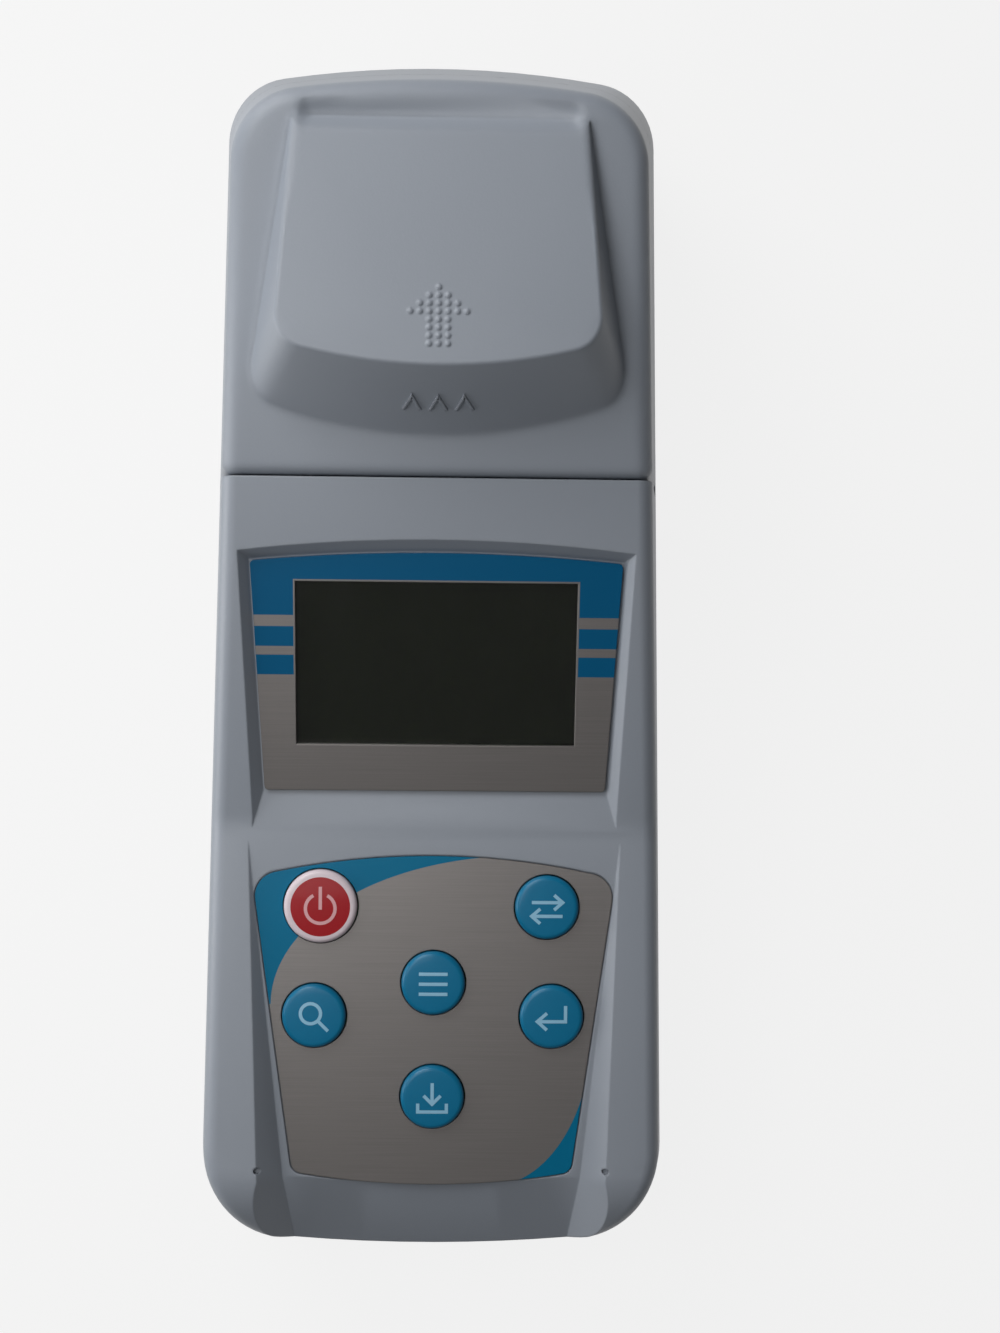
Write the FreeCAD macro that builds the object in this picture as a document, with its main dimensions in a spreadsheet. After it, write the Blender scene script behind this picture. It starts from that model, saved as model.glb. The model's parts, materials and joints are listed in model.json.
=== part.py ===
import FreeCAD, Part
import math
import os
import re
import Sketcher

# A hand-held turbidity meter, in millimetres. +Y runs to the head, where the sample well is, +Z is up,
# and the origin is on the table under the middle of the body.

V = FreeCAD.Vector

# Driving sizes. Every cell holds a plain number, and its alias is the name used below.
SIZES = {
    "Housing outline": {
        "body_length": 230.0, "tail_width": 89.4, "head_width": 83.4,
        "tail_arc_radius": 300.0, "head_arc_radius": 195.0,
        "tail_corner_radius": 18.0, "head_corner_radius": 13.0,
        "side_draft": 7.4, "tail_draft": 7.4, "head_draft": 21.0, "base_draft": 3.0,
        "parting_height": 30.0, "deck_height": 44.0, "rim_height": 78.0, "rim_place": 96.0,
        "fold_place": -34.0, "fold_radius": 20.0, "tail_round_radius": 17.0, "tail_round_place": -99.0,
        "edge_round": 3.0, "base_edge_round": 4.0, "wall": 2.4, "foot_height": 1.2,
        "parting_groove_height": 0.5, "parting_groove_depth": 0.4,
    },
    "Dished keypad deck": {
        "dish_half_width": 35.0, "dish_tail_half_width": 28.2, "dish_end_half_width": 25.6,
        "dish_depth": 4.5, "crease_place": -100.5, "dish_end_place": -118.0, "dish_end_depth": 13.8,
        "dimple_radius": 0.6, "dimple_side": 32.7, "dimple_place": -98.4, "dimple_depth": 1.2,
    },
    "Sliding cover": {
        "seam_place": 30.0, "seam_gap": 0.4, "rail_plane_height": 36.0, "cover_wall": 2.2,
        "seam_round": 2.0, "plateau_half_width": 29.0, "plateau_far_half_width": 25.6,
        "plateau_front": 47.4, "plateau_back": 89.4, "plateau_arc_radius": 100.0, "plateau_drop": 0.3,
        "ramp_lean": 0.66, "flank_lean": 0.38, "plateau_corner_radius": 7.0, "plateau_edge_round": 1.0,
        "rail_inner": 24.4, "rail_web": 2.6, "rail_flange": 2.6, "rail_height": 7.6, "rail_top": 2.2,
        "rail_length": 66.0, "ledge_length": 64.0, "running_gap": 0.3, "cover_travel": 50.0,
        "rail_start": 1.5, "ledge_wall_bite": 1.0, "stop_length": 2.0, "stop_width": 4.0,
    },
    "Pull groove and arrow on the cover": {
        "groove_bottom": 91.1, "groove_drop": 2.1, "groove_lean": 1.48, "groove_half_width": 26.0,
        "dot_radius": 0.6, "dot_rise": 0.3, "dot_column": 1.63, "dot_row": 1.4, "arrow_tip": 60.8,
    },
    "Display": {
        "recess_depth": 2.2, "recess_flare": 1.9, "recess_ramp": 6.2, "recess_crown": 0.6,
        "panel_top_half_width": 34.2, "panel_bottom_half_width": 32.0, "panel_bottom": 6.8,
        "panel_top": 50.4, "panel_rise": 1.7, "panel_thickness": 0.8, "panel_corner": 0.8,
        "panel_gap": 0.25, "window_width": 52.0, "window_height": 31.0, "window_middle": 31.2,
        "window_lap": 1.3, "window_thickness": 0.7, "fit_gap": 0.2, "glass_gap": 0.3,
        "glass_thickness": 2.8, "bezel_width": 59.6, "bezel_height": 40.0, "bezel_depth": 2.1,
        "bezel_gap": 0.4, "board_thickness": 1.6, "screen_board_width": 59.0,
    },
    "Keypad": {
        "label_top_half_width": 34.2, "label_bottom_half_width": 26.4, "label_top": -7.0,
        "label_bottom": -63.0, "label_rise": 4.2, "label_sag": 2.4, "label_thickness": 0.6,
        "label_recess": 0.5, "label_top_corner": 4.6, "label_bottom_corner": 2.2, "label_gap": 0.2,
        "key_radius": 6.0, "power_key_radius": 6.9, "key_rise": 1.5, "key_round": 0.9,
        "key_gap": 0.25, "key_flange": 1.1, "key_flange_thickness": 0.9, "key_travel": 0.5,
        "key_rest_gap": 0.3, "key_side": 22.4, "key_top_side": 21.3, "first_row": 12.3,
        "second_row": 26.8, "third_row": 33.1, "fourth_row": 48.5, "switch_side": 6.0,
        "switch_body": 3.5, "plunger_radius": 1.75, "plunger_height": 1.2, "keypad_board_width": 60.0,
        "keypad_board_length": 58.0, "keypad_board_middle": -31.0,
    },
    "Sample well and optics": {
        "well_place": 64.0, "well_radius": 13.0, "well_wall": 2.5, "well_floor": 1.0,
        "well_top": 50.6, "holder_side": 38.0, "holder_height": 32.6, "optic_height": 24.0,
        "port_radius": 3.2, "optic_radius": 3.0, "lens_thickness": 1.6, "lens_back_off": 1.2,
        "lamp_rim": 0.6, "lamp_rim_thickness": 0.8, "detector_length": 5.0, "optic_board_side": 14.0,
        "collar_wall": 2.0, "collar_height": 3.2,
    },
    "Power": {
        "cell_radius": 7.1, "cell_length": 49.5, "cell_nub_radius": 2.75, "cell_nub_length": 1.0,
        "cell_pitch": 14.6, "cell_place": -62.0, "cell_lift": 0.3, "bay_clearance": 2.2,
        "bay_wall": 1.6, "bay_height": 14.0, "bay_half_width": 37.6, "contact_thickness": 0.4,
        "contact_side": 9.0, "spring_radius": 3.2,
        "door_width": 77.4, "door_length": 67.4, "door_thickness": 1.2, "door_gap": 0.3,
        "hatch_width": 73.0, "hatch_length": 54.0, "door_screw_offset": 31.0,
    },
    "Fixings and boards": {
        "screw_radius": 1.5, "screw_head_radius": 2.8, "screw_head_height": 2.0, "screw_length": 14.0,
        "pilot_gap": 0.05, "clearance_gap": 0.25, "boss_radius": 3.8, "boss_step": 0.3,
        "base_boss_radius": 5.0,
        "base_boss_top": 8.0, "head_seat": 5.4, "tail_screw_side": 20.0, "tail_screw_place": -102.0,
        "middle_screw_side": 34.0, "middle_screw_place": -19.0, "head_screw_side": 27.0,
        "head_screw_place": 99.0, "foot_radius": 4.0, "foot_thickness": 1.8,
        "foot_side": 32.0, "foot_tail_place": -101.6, "foot_head_place": 88.0,
        "post_radius": 2.4, "post_edge": 3.2, "screen_post_edge": 4.7, "keypad_post_side": 11.0,
        "keypad_post_rise": 8.0, "main_post_edge": 4.0, "small_screw_radius": 1.0, "small_head_radius": 1.9,
        "small_head_height": 1.2, "small_screw_length": 5.0, "main_board_width": 58.0,
        "main_board_length": 52.0, "main_board_place": 10.0, "main_board_height": 22.0,
        "processor_side": 12.0, "chip_width": 6.0, "chip_length": 8.0, "chip_height": 1.6,
        "chip_column": 14.0, "chip_row": 9.0,
    },
}

doc = FreeCAD.newDocument("TurbidityMeter")
sheet = doc.addObject("Spreadsheet::Sheet", "Sizes")
row = 0
for heading, entries in SIZES.items():
    row += 1
    sheet.set(f"A{row}", "'" + heading)
    for alias, value in entries.items():
        row += 1
        sheet.set(f"A{row}", "'" + alias.replace("_", " "))
        sheet.set(f"B{row}", str(value))
        sheet.setAlias(f"B{row}", alias)
doc.recompute()


class Sheet:
    """Reads one size from the sheet by its alias."""

    def __getattr__(self, alias):
        return float(sheet.get(alias))


s = Sheet()
ALIASES = {alias for entries in SIZES.values() for alias in entries}
PIECES = []


def formula(text):
    """A formula in size names, with each name pointed at its cell."""
    return re.sub(r"[a-z_]+", lambda word: ("Sizes." if word.group() in ALIASES else "") + word.group(), text)


def bind(obj, **formulas):
    """Tie an object's sizes to the sheet."""
    for name, text in formulas.items():
        obj.setExpression(name, formula(text))


def locate(obj, x="0", y="0", z="0"):
    """Tie an object's place to the sheet."""
    for axis, text in zip("xyz", (x, y, z)):
        obj.setExpression(f".Placement.Base.{axis}", formula(text))


def block(name, length, width, height, x="0", y="0", z="0"):
    """A box centred on x and y that stands on z."""
    obj = doc.addObject("Part::Box", name)
    bind(obj, Length=length, Width=width, Height=height)
    locate(obj, f"({x}) - ({length}) / 2", f"({y}) - ({width}) / 2", z)
    return obj


def rod(name, radius, height, x="0", y="0", z="0", axis=V(0, 0, 1)):
    """A cylinder that starts at x, y, z and runs along axis."""
    obj = doc.addObject("Part::Cylinder", name)
    obj.Placement = FreeCAD.Placement(V(), FreeCAD.Rotation(V(0, 0, 1), axis))
    bind(obj, Radius=radius, Height=height)
    locate(obj, x, y, z)
    return obj


def joined(name, shapes):
    """One solid out of several that touch, or one group of solids that don't."""
    obj = doc.addObject("Part::MultiFuse", name)
    obj.Shapes = shapes
    return obj


def trimmed(name, base, tools):
    """A solid with others taken out of it."""
    obj = doc.addObject("Part::Cut", name)
    obj.Base = base
    obj.Tool = tools[0] if len(tools) == 1 else joined(name + "_tools", tools)
    return obj


def keep(obj, label, frame=None):
    """Name a finished piece and put it in the frame it belongs to."""
    obj.Label = label
    if frame:
        obj.Placement = frame
    PIECES.append(obj)
    return obj


def moulding(label, shape, frame=FreeCAD.Placement()):
    """A moulded or pressed piece whose form is worked out in code from the sheet."""
    obj = doc.addObject("Part::Feature", label)
    obj.Shape = shape
    return keep(obj, label, frame)


# Sketched bodies.

def sketch_on(body, name, height="0"):
    """An empty sketch parallel to the body's floor plane, at a height above it."""
    sketch = body.newObject("Sketcher::SketchObject", name)
    floor = next(f for f in body.Origin.OriginFeatures if f.Role == "XY_Plane")
    sketch.AttachmentSupport = [(floor, "")]
    sketch.MapMode = "FlatFace"
    sketch.setExpression(".AttachmentOffset.Base.z", formula(height))
    return sketch


def constrain(sketch, constraint, text):
    """Add one size to a sketch and tie it to the sheet."""
    index = sketch.addConstraint(constraint)
    sketch.setExpression(f"Constraints[{index}]", formula(text))


def draw_circle(sketch, radius, start):
    """A circle on the sketch's origin; start is its first size."""
    circle = sketch.addGeometry(Part.Circle(V(), V(0, 0, 1), start), False)
    sketch.addConstraint(Sketcher.Constraint("Coincident", circle, 3, -1, 1))
    constrain(sketch, Sketcher.Constraint("Radius", circle, start), radius)


def draw_rectangle(sketch, width, depth, start):
    """A rectangle centred on the sketch's origin; start is its first width and depth."""
    half_width, half_depth = start[0] / 2, start[1] / 2
    corners = [V(-half_width, -half_depth), V(half_width, -half_depth), V(half_width, half_depth),
               V(-half_width, half_depth)]
    first = sketch.GeometryCount
    for corner, following in zip(corners, corners[1:] + corners[:1]):
        sketch.addGeometry(Part.LineSegment(corner, following), False)
    for side in range(4):
        sketch.addConstraint(Sketcher.Constraint("Coincident", first + side, 2, first + (side + 1) % 4, 1))
        sketch.addConstraint(Sketcher.Constraint("Vertical" if side % 2 else "Horizontal", first + side))
    sketch.addConstraint(Sketcher.Constraint("Symmetric", first, 1, first + 1, 2, -1, 1))
    constrain(sketch, Sketcher.Constraint("DistanceX", first, 1, first, 2, start[0]), width)
    constrain(sketch, Sketcher.Constraint("DistanceY", first + 1, 1, first + 1, 2, start[1]), depth)


def pad(body, sketch, length):
    """Raise a sketch into a solid."""
    feature = body.newObject("PartDesign::Pad", sketch.Name + "_pad")
    feature.Profile = sketch
    feature.setExpression("Length", formula(length))
    sketch.Visibility = False
    return feature


def pocket(body, sketch):
    """Cut a sketch right through a body, both ways."""
    feature = body.newObject("PartDesign::Pocket", sketch.Name + "_pocket")
    feature.Profile = sketch
    feature.Type = "ThroughAll"
    feature.Midplane = True
    return feature


def disc_body(label, steps, frame):
    """A turned piece: each step is a radius, the height it starts at and its length."""
    body = doc.addObject("PartDesign::Body", label)
    for number, (radius, height, length, start) in enumerate(steps):
        sketch = sketch_on(body, f"{label}_step{number}", height)
        draw_circle(sketch, radius, start)
        pad(body, sketch, length)
    return keep(body, label, frame)


def plate_body(label, width, depth, thickness, start, frame):
    """A rectangular plate, centred, with its underside on the frame's plane."""
    body = doc.addObject("PartDesign::Body", label)
    sketch = sketch_on(body, label + "_outline")
    draw_rectangle(sketch, width, depth, start)
    pad(body, sketch, thickness)
    return keep(body, label, frame)


# Frames that the sloped pieces are laid out in.

def tilted(y, z, angle):
    """A frame at y, z whose own Y axis climbs at angle degrees."""
    return FreeCAD.Placement(V(0, y, z), FreeCAD.Rotation(V(1, 0, 0), angle))


def inside(frame, x=0.0, y=0.0, z=0.0):
    """A point of a frame, as a frame parallel to it."""
    return frame.multiply(FreeCAD.Placement(V(x, y, z), FreeCAD.Rotation()))


slope = math.atan((s.rim_height - s.deck_height) / (s.rim_place - s.fold_place))
fold_tangent = s.fold_radius * math.tan(slope / 2)
dish_start = s.fold_place - fold_tangent
dish_angle = math.atan(s.dish_depth / (dish_start - s.crease_place))

screen_frame = tilted(s.fold_place, s.deck_height, math.degrees(slope))
keypad_frame = tilted(dish_start, s.deck_height, math.degrees(dish_angle))
cover_frame = tilted(s.seam_place, s.rail_plane_height, math.degrees(slope))

floor_height = s.foot_height + s.wall
# How far a cutting or trimmed solid runs past what it cuts, and how far a post runs into its wall.
SPARE = 5.0
OVERRUN = 1.0
BITE = 0.5
# How near two things are when they count as touching, and how much of a wall's height its upright edges span.
TOUCH = 0.01
UPRIGHT = 0.9


# Building blocks of the mouldings.

def solid_between(lower, upper):
    """The solid between two loops of as many corners, with flat sides."""
    loops = list(zip(lower, lower[1:] + lower[:1], upper[1:] + upper[:1], upper))
    outlines = [lower, upper] + [list(loop) for loop in loops]
    faces = [Part.Face(Part.makePolygon(outline + outline[:1])) for outline in outlines]
    solid = Part.Solid(Part.Shell(faces))
    if solid.Volume < 0:
        solid.reverse()
    return solid


def rounded(shape, radius, test):
    """Round the edges of a shape whose edge passes the test."""
    return shape.makeFillet(radius, [edge for edge in shape.Edges if test(edge)])


def middle(edge):
    """The point half way along an edge."""
    return edge.valueAt((edge.FirstParameter + edge.LastParameter) / 2)


def on(shape, point):
    """True where a point lies on the skin of a shape."""
    return shape.Shells[0].distToShape(Part.Vertex(point))[0] < TOUCH


def plan_prism(end_height, drafts, inset=0.0):
    """The body's outline, drawn from the parting plane to end_height with its walls leaning in."""
    parting = s.parting_height
    rise = abs(end_height - parting)
    side_lean, tail_lean, head_lean = [rise * math.tan(math.radians(draft)) for draft in drafts]
    taper = (s.tail_width - s.head_width) / 2 / s.body_length * SPARE
    reach = s.body_length / 2 + SPARE
    loops = []
    for height, lean in ((parting, 0.0), (end_height, side_lean)):
        tail = s.tail_width / 2 + taper - inset - lean
        head = s.head_width / 2 - taper - inset - lean
        loops.append([V(-tail, -reach, height), V(tail, -reach, height), V(head, reach, height),
                      V(-head, reach, height)])
    prism = solid_between(*loops)
    for end, radius, lean in ((-1, s.tail_arc_radius, tail_lean), (1, s.head_arc_radius, head_lean)):
        centre = V(0, end * (s.body_length / 2 - radius), min(parting, end_height))
        radii = [radius - inset, radius - inset - lean]
        if end_height < parting:
            radii.reverse()
        prism = prism.common(Part.makeCone(radii[0], radii[1], rise, centre))
    for end, radius in ((-1, s.tail_corner_radius), (1, s.head_corner_radius)):
        prism = rounded(prism, radius - inset, lambda edge: edge.BoundBox.ZLength > UPRIGHT * rise
                        and end * edge.BoundBox.Center.y > 0
                        and abs(edge.BoundBox.Center.x) > s.dish_tail_half_width)
    return prism


def deck_prism(inset=0.0):
    """Everything under the side profile: rounded tail, level deck, fold and the slope up to the rim."""
    parting, deck = s.parting_height, s.deck_height
    tail_centre = V(0, s.tail_round_place, deck - s.tail_round_radius)
    tail_radius = s.tail_round_radius - inset
    drop = parting - tail_centre.z
    start_angle = math.pi - math.asin(drop / tail_radius)
    fold_centre = V(0, dish_start, deck + s.fold_radius)
    fold_radius = s.fold_radius + inset

    def tail_point(angle):
        return tail_centre + V(0, math.cos(angle), math.sin(angle)) * tail_radius

    def fold_point(angle):
        return fold_centre + V(0, math.sin(angle), -math.cos(angle)) * fold_radius

    start, level = tail_point(start_angle), tail_point(math.pi / 2)
    fold_end = fold_point(slope)
    run = s.body_length / 2 + SPARE - fold_end.y
    high = fold_end + V(0, run, run * math.tan(slope))
    low = V(0, high.y, parting)
    edges = [
        Part.Arc(start, tail_point((start_angle + math.pi / 2) / 2), level).toShape(),
        Part.makeLine(level, fold_point(0)),
        Part.Arc(fold_point(0), fold_point(slope / 2), fold_end).toShape(),
        Part.makeLine(fold_end, high), Part.makeLine(high, low), Part.makeLine(low, start),
    ]
    face = Part.Face(Part.Wire(edges))
    face.translate(V(-s.tail_width, 0, 0))
    return face.extrude(V(2 * s.tail_width, 0, 0))


def upper_walls(inset=0.0):
    """The walls of the housing above the parting plane, drawn past its top."""
    return plan_prism(s.rim_height + 4 * SPARE, (s.side_draft, s.tail_draft, s.head_draft), inset)


def upper_solid(inset=0.0):
    """The whole of the housing above the parting plane, cover included, without the plateau."""
    walls = upper_walls(inset)
    decks = deck_prism(inset)
    solid = walls.common(decks)
    if inset:
        return solid

    def is_rim(edge):
        point = middle(edge)
        return point.z > s.parting_height + BITE and on(walls, point) and on(decks, point)

    return rounded(solid, s.edge_round, is_rim)


def dish(extra=0.0):
    """The space over the dished keypad deck, between flanks at 45 degrees; extra grows it outwards."""
    widen = extra * (math.sqrt(2) - 1)
    top = s.rim_height
    loops = []
    for place, half_width, depth in ((dish_start, s.dish_half_width, 0.0),
                                     (s.crease_place, s.dish_tail_half_width, s.dish_depth),
                                     (s.dish_end_place, s.dish_end_half_width, s.dish_end_depth)):
        foot = s.deck_height - depth - extra
        inner = half_width + widen
        outer = inner + top - foot
        loops.append([V(-inner, place, foot), V(inner, place, foot), V(outer, place, top),
                      V(-outer, place, top)])
    return solid_between(loops[0], loops[1]).fuse(solid_between(loops[1], loops[2])).removeSplitter()


def arched_plate(half_widths, places, bulges, corners, heights, grow=0.0):
    """A plate with straight sides and bowed ends: each pair is for the bottom end, then the top end."""
    low_half, high_half = half_widths[0] + grow, half_widths[1] + grow
    low, high = places[0] - grow, places[1] + grow
    base = heights[0]
    low_left, low_right = V(-low_half, low, base), V(low_half, low, base)
    high_left, high_right = V(-high_half, high, base), V(high_half, high, base)
    top_edge = Part.Arc(high_right, V(0, high + bulges[1], base), high_left).toShape()
    if bulges[0]:
        bottom_edge = Part.Arc(low_left, V(0, low - bulges[0], base), low_right).toShape()
    else:
        bottom_edge = Part.makeLine(low_left, low_right)
    sides = [Part.makeLine(low_right, high_right), Part.makeLine(high_left, low_left)]
    wire = Part.Wire([bottom_edge, sides[0], top_edge, sides[1]])
    plate = Part.Face(wire).extrude(V(0, 0, heights[1] - base))
    for end, radius in zip((-1, 1), corners):
        centre = (low + high) / 2
        plate = rounded(plate, radius + grow, lambda edge: edge.BoundBox.ZLength > TOUCH
                        and end * (edge.BoundBox.Center.y - centre) > 0)
    return plate


def screen_recess():
    """The flared recess that the display panel lies in, in the screen frame."""
    floor = -s.recess_depth
    wires = []
    for height, spread in ((floor, 0.0), (s.recess_depth, 2.0)):
        low_half = s.panel_bottom_half_width + s.panel_gap + spread * s.recess_flare
        high_half = s.panel_top_half_width + s.panel_gap + spread * s.recess_flare
        low = s.panel_bottom - s.panel_gap - spread * s.recess_ramp
        high = s.panel_top + s.panel_gap + spread * s.recess_flare
        crown = high + s.panel_rise + spread * s.recess_crown
        corners = [V(-low_half, low, height), V(low_half, low, height), V(high_half, high, height),
                   V(-high_half, high, height)]
        wires.append(Part.Wire([
            Part.makeLine(corners[0], corners[1]), Part.makeLine(corners[1], corners[2]),
            Part.Arc(corners[2], V(0, crown, height), corners[3]).toShape(),
            Part.makeLine(corners[3], corners[0])]))
    return Part.makeLoft(wires, True, True)


def cover_region(gap):
    """Everything above the rail plane and beyond the seam."""
    size = 2 * s.body_length
    above = Part.makeBox(size, size, size, V(-size / 2, -size / 2, gap))
    above.Placement = cover_frame
    beyond = Part.makeBox(size, size, size, V(-size / 2, s.seam_place + gap, 0))
    return above.common(beyond)


def plateau(inset=0.0):
    """The raised wedge on the cover: level top, leaning flanks and an arched ramp that a thumb pushes on."""
    top = s.rim_height - s.plateau_drop - inset
    foot = s.rail_plane_height
    front, back = s.seam_place - SPARE, s.plateau_back - inset
    taper = (s.plateau_half_width - s.plateau_far_half_width) / (s.plateau_back - s.plateau_front)
    loops = []
    for height in (foot, top):
        lean = (top - height) * s.flank_lean
        near = s.plateau_half_width - inset + taper * (s.plateau_front - front) + lean
        far = s.plateau_far_half_width - inset + lean
        reach = back + (top - height)
        far -= taper * (reach - s.plateau_back)
        loops.append([V(-near, front, height), V(near, front, height), V(far, reach, height),
                      V(-far, reach, height)])
    sides = solid_between(*loops)
    radius = s.plateau_arc_radius - inset
    height = top - foot
    centre = V(0, s.plateau_front + s.plateau_arc_radius, foot)
    block_shape = sides.common(Part.makeCone(radius + height * s.ramp_lean, radius, height, centre))
    if inset:
        return block_shape.common(upper_walls(inset))

    def is_corner(edge):
        box = edge.BoundBox
        return box.ZLength > UPRIGHT * height and box.Center.y < (s.plateau_front + s.plateau_back) / 2

    block_shape = rounded(block_shape, s.plateau_corner_radius, is_corner)
    block_shape = rounded(block_shape, s.plateau_edge_round, lambda edge: edge.BoundBox.ZMin > top - TOUCH)
    return block_shape.common(upper_walls(s.edge_round))


def framed(shape, frame):
    """A shape drawn in a frame, put in its place."""
    moved = shape.copy()
    moved.Placement = frame
    return moved


def box_at(x, y, z):
    """A box between pairs of low and high limits."""
    return Part.makeBox(x[1] - x[0], y[1] - y[0], z[1] - z[0], V(x[0], y[0], z[0]))


def upright(radius, x, y, low, high):
    """An upright cylinder between two heights."""
    return Part.makeCylinder(radius, high - low, V(x, y, low))


SCREW_PLACES = [(side * x, y) for x, y in ((s.tail_screw_side, s.tail_screw_place),
                                           (s.middle_screw_side, s.middle_screw_place),
                                           (s.head_screw_side, s.head_screw_place)) for side in (-1, 1)]
KEYS = {
    "power_key": (-s.key_top_side, -s.first_row), "switch_key": (s.key_top_side, -s.first_row),
    "menu_key": (0.0, -s.second_row), "query_key": (-s.key_side, -s.third_row),
    "enter_key": (s.key_side, -s.third_row), "store_key": (0.0, -s.fourth_row),
}
KEY_RADII = {name: s.power_key_radius if name == "power_key" else s.key_radius for name in KEYS}

# Heights in the keypad frame, measured down from the deck.
key_flange_top = -s.wall - s.key_rest_gap
key_flange_low = key_flange_top - s.key_flange_thickness
plunger_top = key_flange_low - s.key_travel - s.fit_gap
keypad_board_top = plunger_top - s.plunger_height - s.switch_body

# Heights in the screen frame.
window_low = -s.recess_depth - s.window_thickness
screen_floor_low = -s.recess_depth - s.wall
glass_top = window_low - s.glass_gap
bezel_top = screen_floor_low - s.fit_gap
screen_board_top = bezel_top - s.bezel_depth

screen_post_rise = s.bezel_height / 2 + s.bezel_gap + s.post_radius
SCREEN_POSTS = [(side * (s.screen_board_width / 2 - s.screen_post_edge),
                 s.window_middle + end * screen_post_rise) for side in (-1, 1) for end in (-1, 1)]
KEYPAD_POSTS = [(side * x, s.keypad_board_middle + y) for x, y in
                ((s.keypad_board_width / 2 - s.post_edge, s.keypad_post_rise),
                 (s.keypad_post_side, s.post_edge - s.keypad_board_length / 2)) for side in (-1, 1)]


# How many dots each row of the arrow on the cover has, from its tip.
ARROW_ROWS = (1, 3, 5, 7, 3, 3, 3, 3)

# Across the rails, in the cover frame: where a cover ledge starts, and the strip where it meets its stop.
ledge_inner = s.rail_inner + s.rail_web + s.running_gap
ledge_top = s.rail_height - s.rail_top - s.running_gap
ledge_low = ledge_top - s.rail_top


def stop_strip(side):
    """Where a ledge's lug and the stop that ends the cover's travel lie, across the rails."""
    return sorted((side * ledge_inner, side * (ledge_inner + s.stop_width)))


def upper_case():
    """The top moulding: keypad deck, display deck, the platform under the cover and its two rails."""
    outer = upper_solid()
    case = outer.cut(cover_region(0.0)).cut(dish())
    recess = framed(screen_recess(), screen_frame)
    case = case.cut(recess)

    inner = upper_solid(s.wall).cut(dish(s.wall))
    step = box_at((-s.tail_width, s.tail_width), (s.seam_place - s.wall, s.body_length),
                  (0, 2 * s.rim_height))
    reach = s.body_length
    above = Part.makeBox(2 * reach, 2 * reach, reach, V(-reach, -reach, -s.wall))
    above.Placement = cover_frame
    inner = inner.cut(step.common(above))
    screen_pad = arched_plate(
        (s.panel_bottom_half_width, s.panel_top_half_width), (s.panel_bottom, s.panel_top),
        (0.0, s.panel_rise), (s.panel_corner, s.panel_corner), (screen_floor_low, s.recess_depth),
        grow=s.wall)
    inner = inner.cut(framed(screen_pad, screen_frame))
    inner = inner.cut([upright(s.boss_radius, x, y, 0.0, s.rim_height) for x, y in SCREW_PLACES])
    case = case.cut(inner)

    label_seat = arched_plate(
        (s.label_bottom_half_width, s.label_top_half_width), (s.label_bottom, s.label_top),
        (s.label_sag, s.label_rise), (s.label_bottom_corner, s.label_top_corner),
        (-s.label_recess, SPARE), grow=s.label_gap)
    cuts = [framed(label_seat, keypad_frame)]
    for name, (x, y) in KEYS.items():
        hole = upright(KEY_RADII[name] + s.key_gap, x, y, -2 * s.wall, SPARE)
        cuts.append(framed(hole, keypad_frame))
    half_width = s.window_width / 2 + s.window_lap + s.fit_gap
    half_height = s.window_height / 2 + s.window_lap + s.fit_gap
    opening = box_at((-half_width, half_width),
                     (s.window_middle - half_height, s.window_middle + half_height),
                     (screen_floor_low - OVERRUN, 0.0))
    cuts.append(framed(opening, screen_frame))
    cuts.append(upright(s.well_radius + s.well_wall + s.running_gap, 0, s.well_place, s.parting_height,
                        s.rim_height))
    for side in (-1, 1):
        cuts.append(upright(s.dimple_radius, side * s.dimple_side, s.dimple_place,
                            s.deck_height - s.dimple_depth, s.rim_height))
    case = case.cut(cuts)

    rail_far = s.rail_inner + s.rail_web + s.rail_flange
    rail_run = (s.rail_start, s.rail_start + s.rail_length)
    stop_start = s.rail_start + s.stop_length + s.cover_travel + s.running_gap
    for side in (-1, 1):
        web = box_at(sorted((side * s.rail_inner, side * (s.rail_inner + s.rail_web))), rail_run,
                     (-s.wall / 2, s.rail_height))
        flange = box_at(sorted((side * (s.rail_inner + s.rail_web / 2), side * rail_far)), rail_run,
                        (s.rail_height - s.rail_top, s.rail_height))
        stop = box_at(stop_strip(side), (stop_start, stop_start + s.stop_length),
                      (-s.wall / 2, ledge_low - s.running_gap))
        case = case.fuse([framed(web.fuse(flange), cover_frame), framed(stop, cover_frame)])

    case = case.fuse([upright(s.boss_radius - s.boss_step, x, y, s.base_boss_top, s.parting_height + OVERRUN)
                      for x, y in SCREW_PLACES])
    posts = [framed(upright(s.post_radius, x, y, screen_board_top, screen_floor_low + BITE), screen_frame)
             for x, y in SCREEN_POSTS]
    posts += [framed(upright(s.post_radius, x, y, keypad_board_top, BITE - s.wall), keypad_frame)
              for x, y in KEYPAD_POSTS]
    case = case.fuse(posts)
    pilots = [upright(s.screw_radius + s.pilot_gap, x, y, s.base_boss_top - OVERRUN,
                      s.head_seat + s.screw_length + OVERRUN)
              for x, y in SCREW_PLACES]
    pilots += [framed(upright(s.small_screw_radius + s.pilot_gap, x, y, screen_board_top - OVERRUN,
                              screen_board_top + s.small_screw_length - s.board_thickness), screen_frame)
               for x, y in SCREEN_POSTS]
    pilots += [framed(upright(s.small_screw_radius + s.pilot_gap, x, y, keypad_board_top - OVERRUN,
                              keypad_board_top + s.small_screw_length - s.board_thickness), keypad_frame)
               for x, y in KEYPAD_POSTS]
    return case.cut(pilots)


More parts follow.
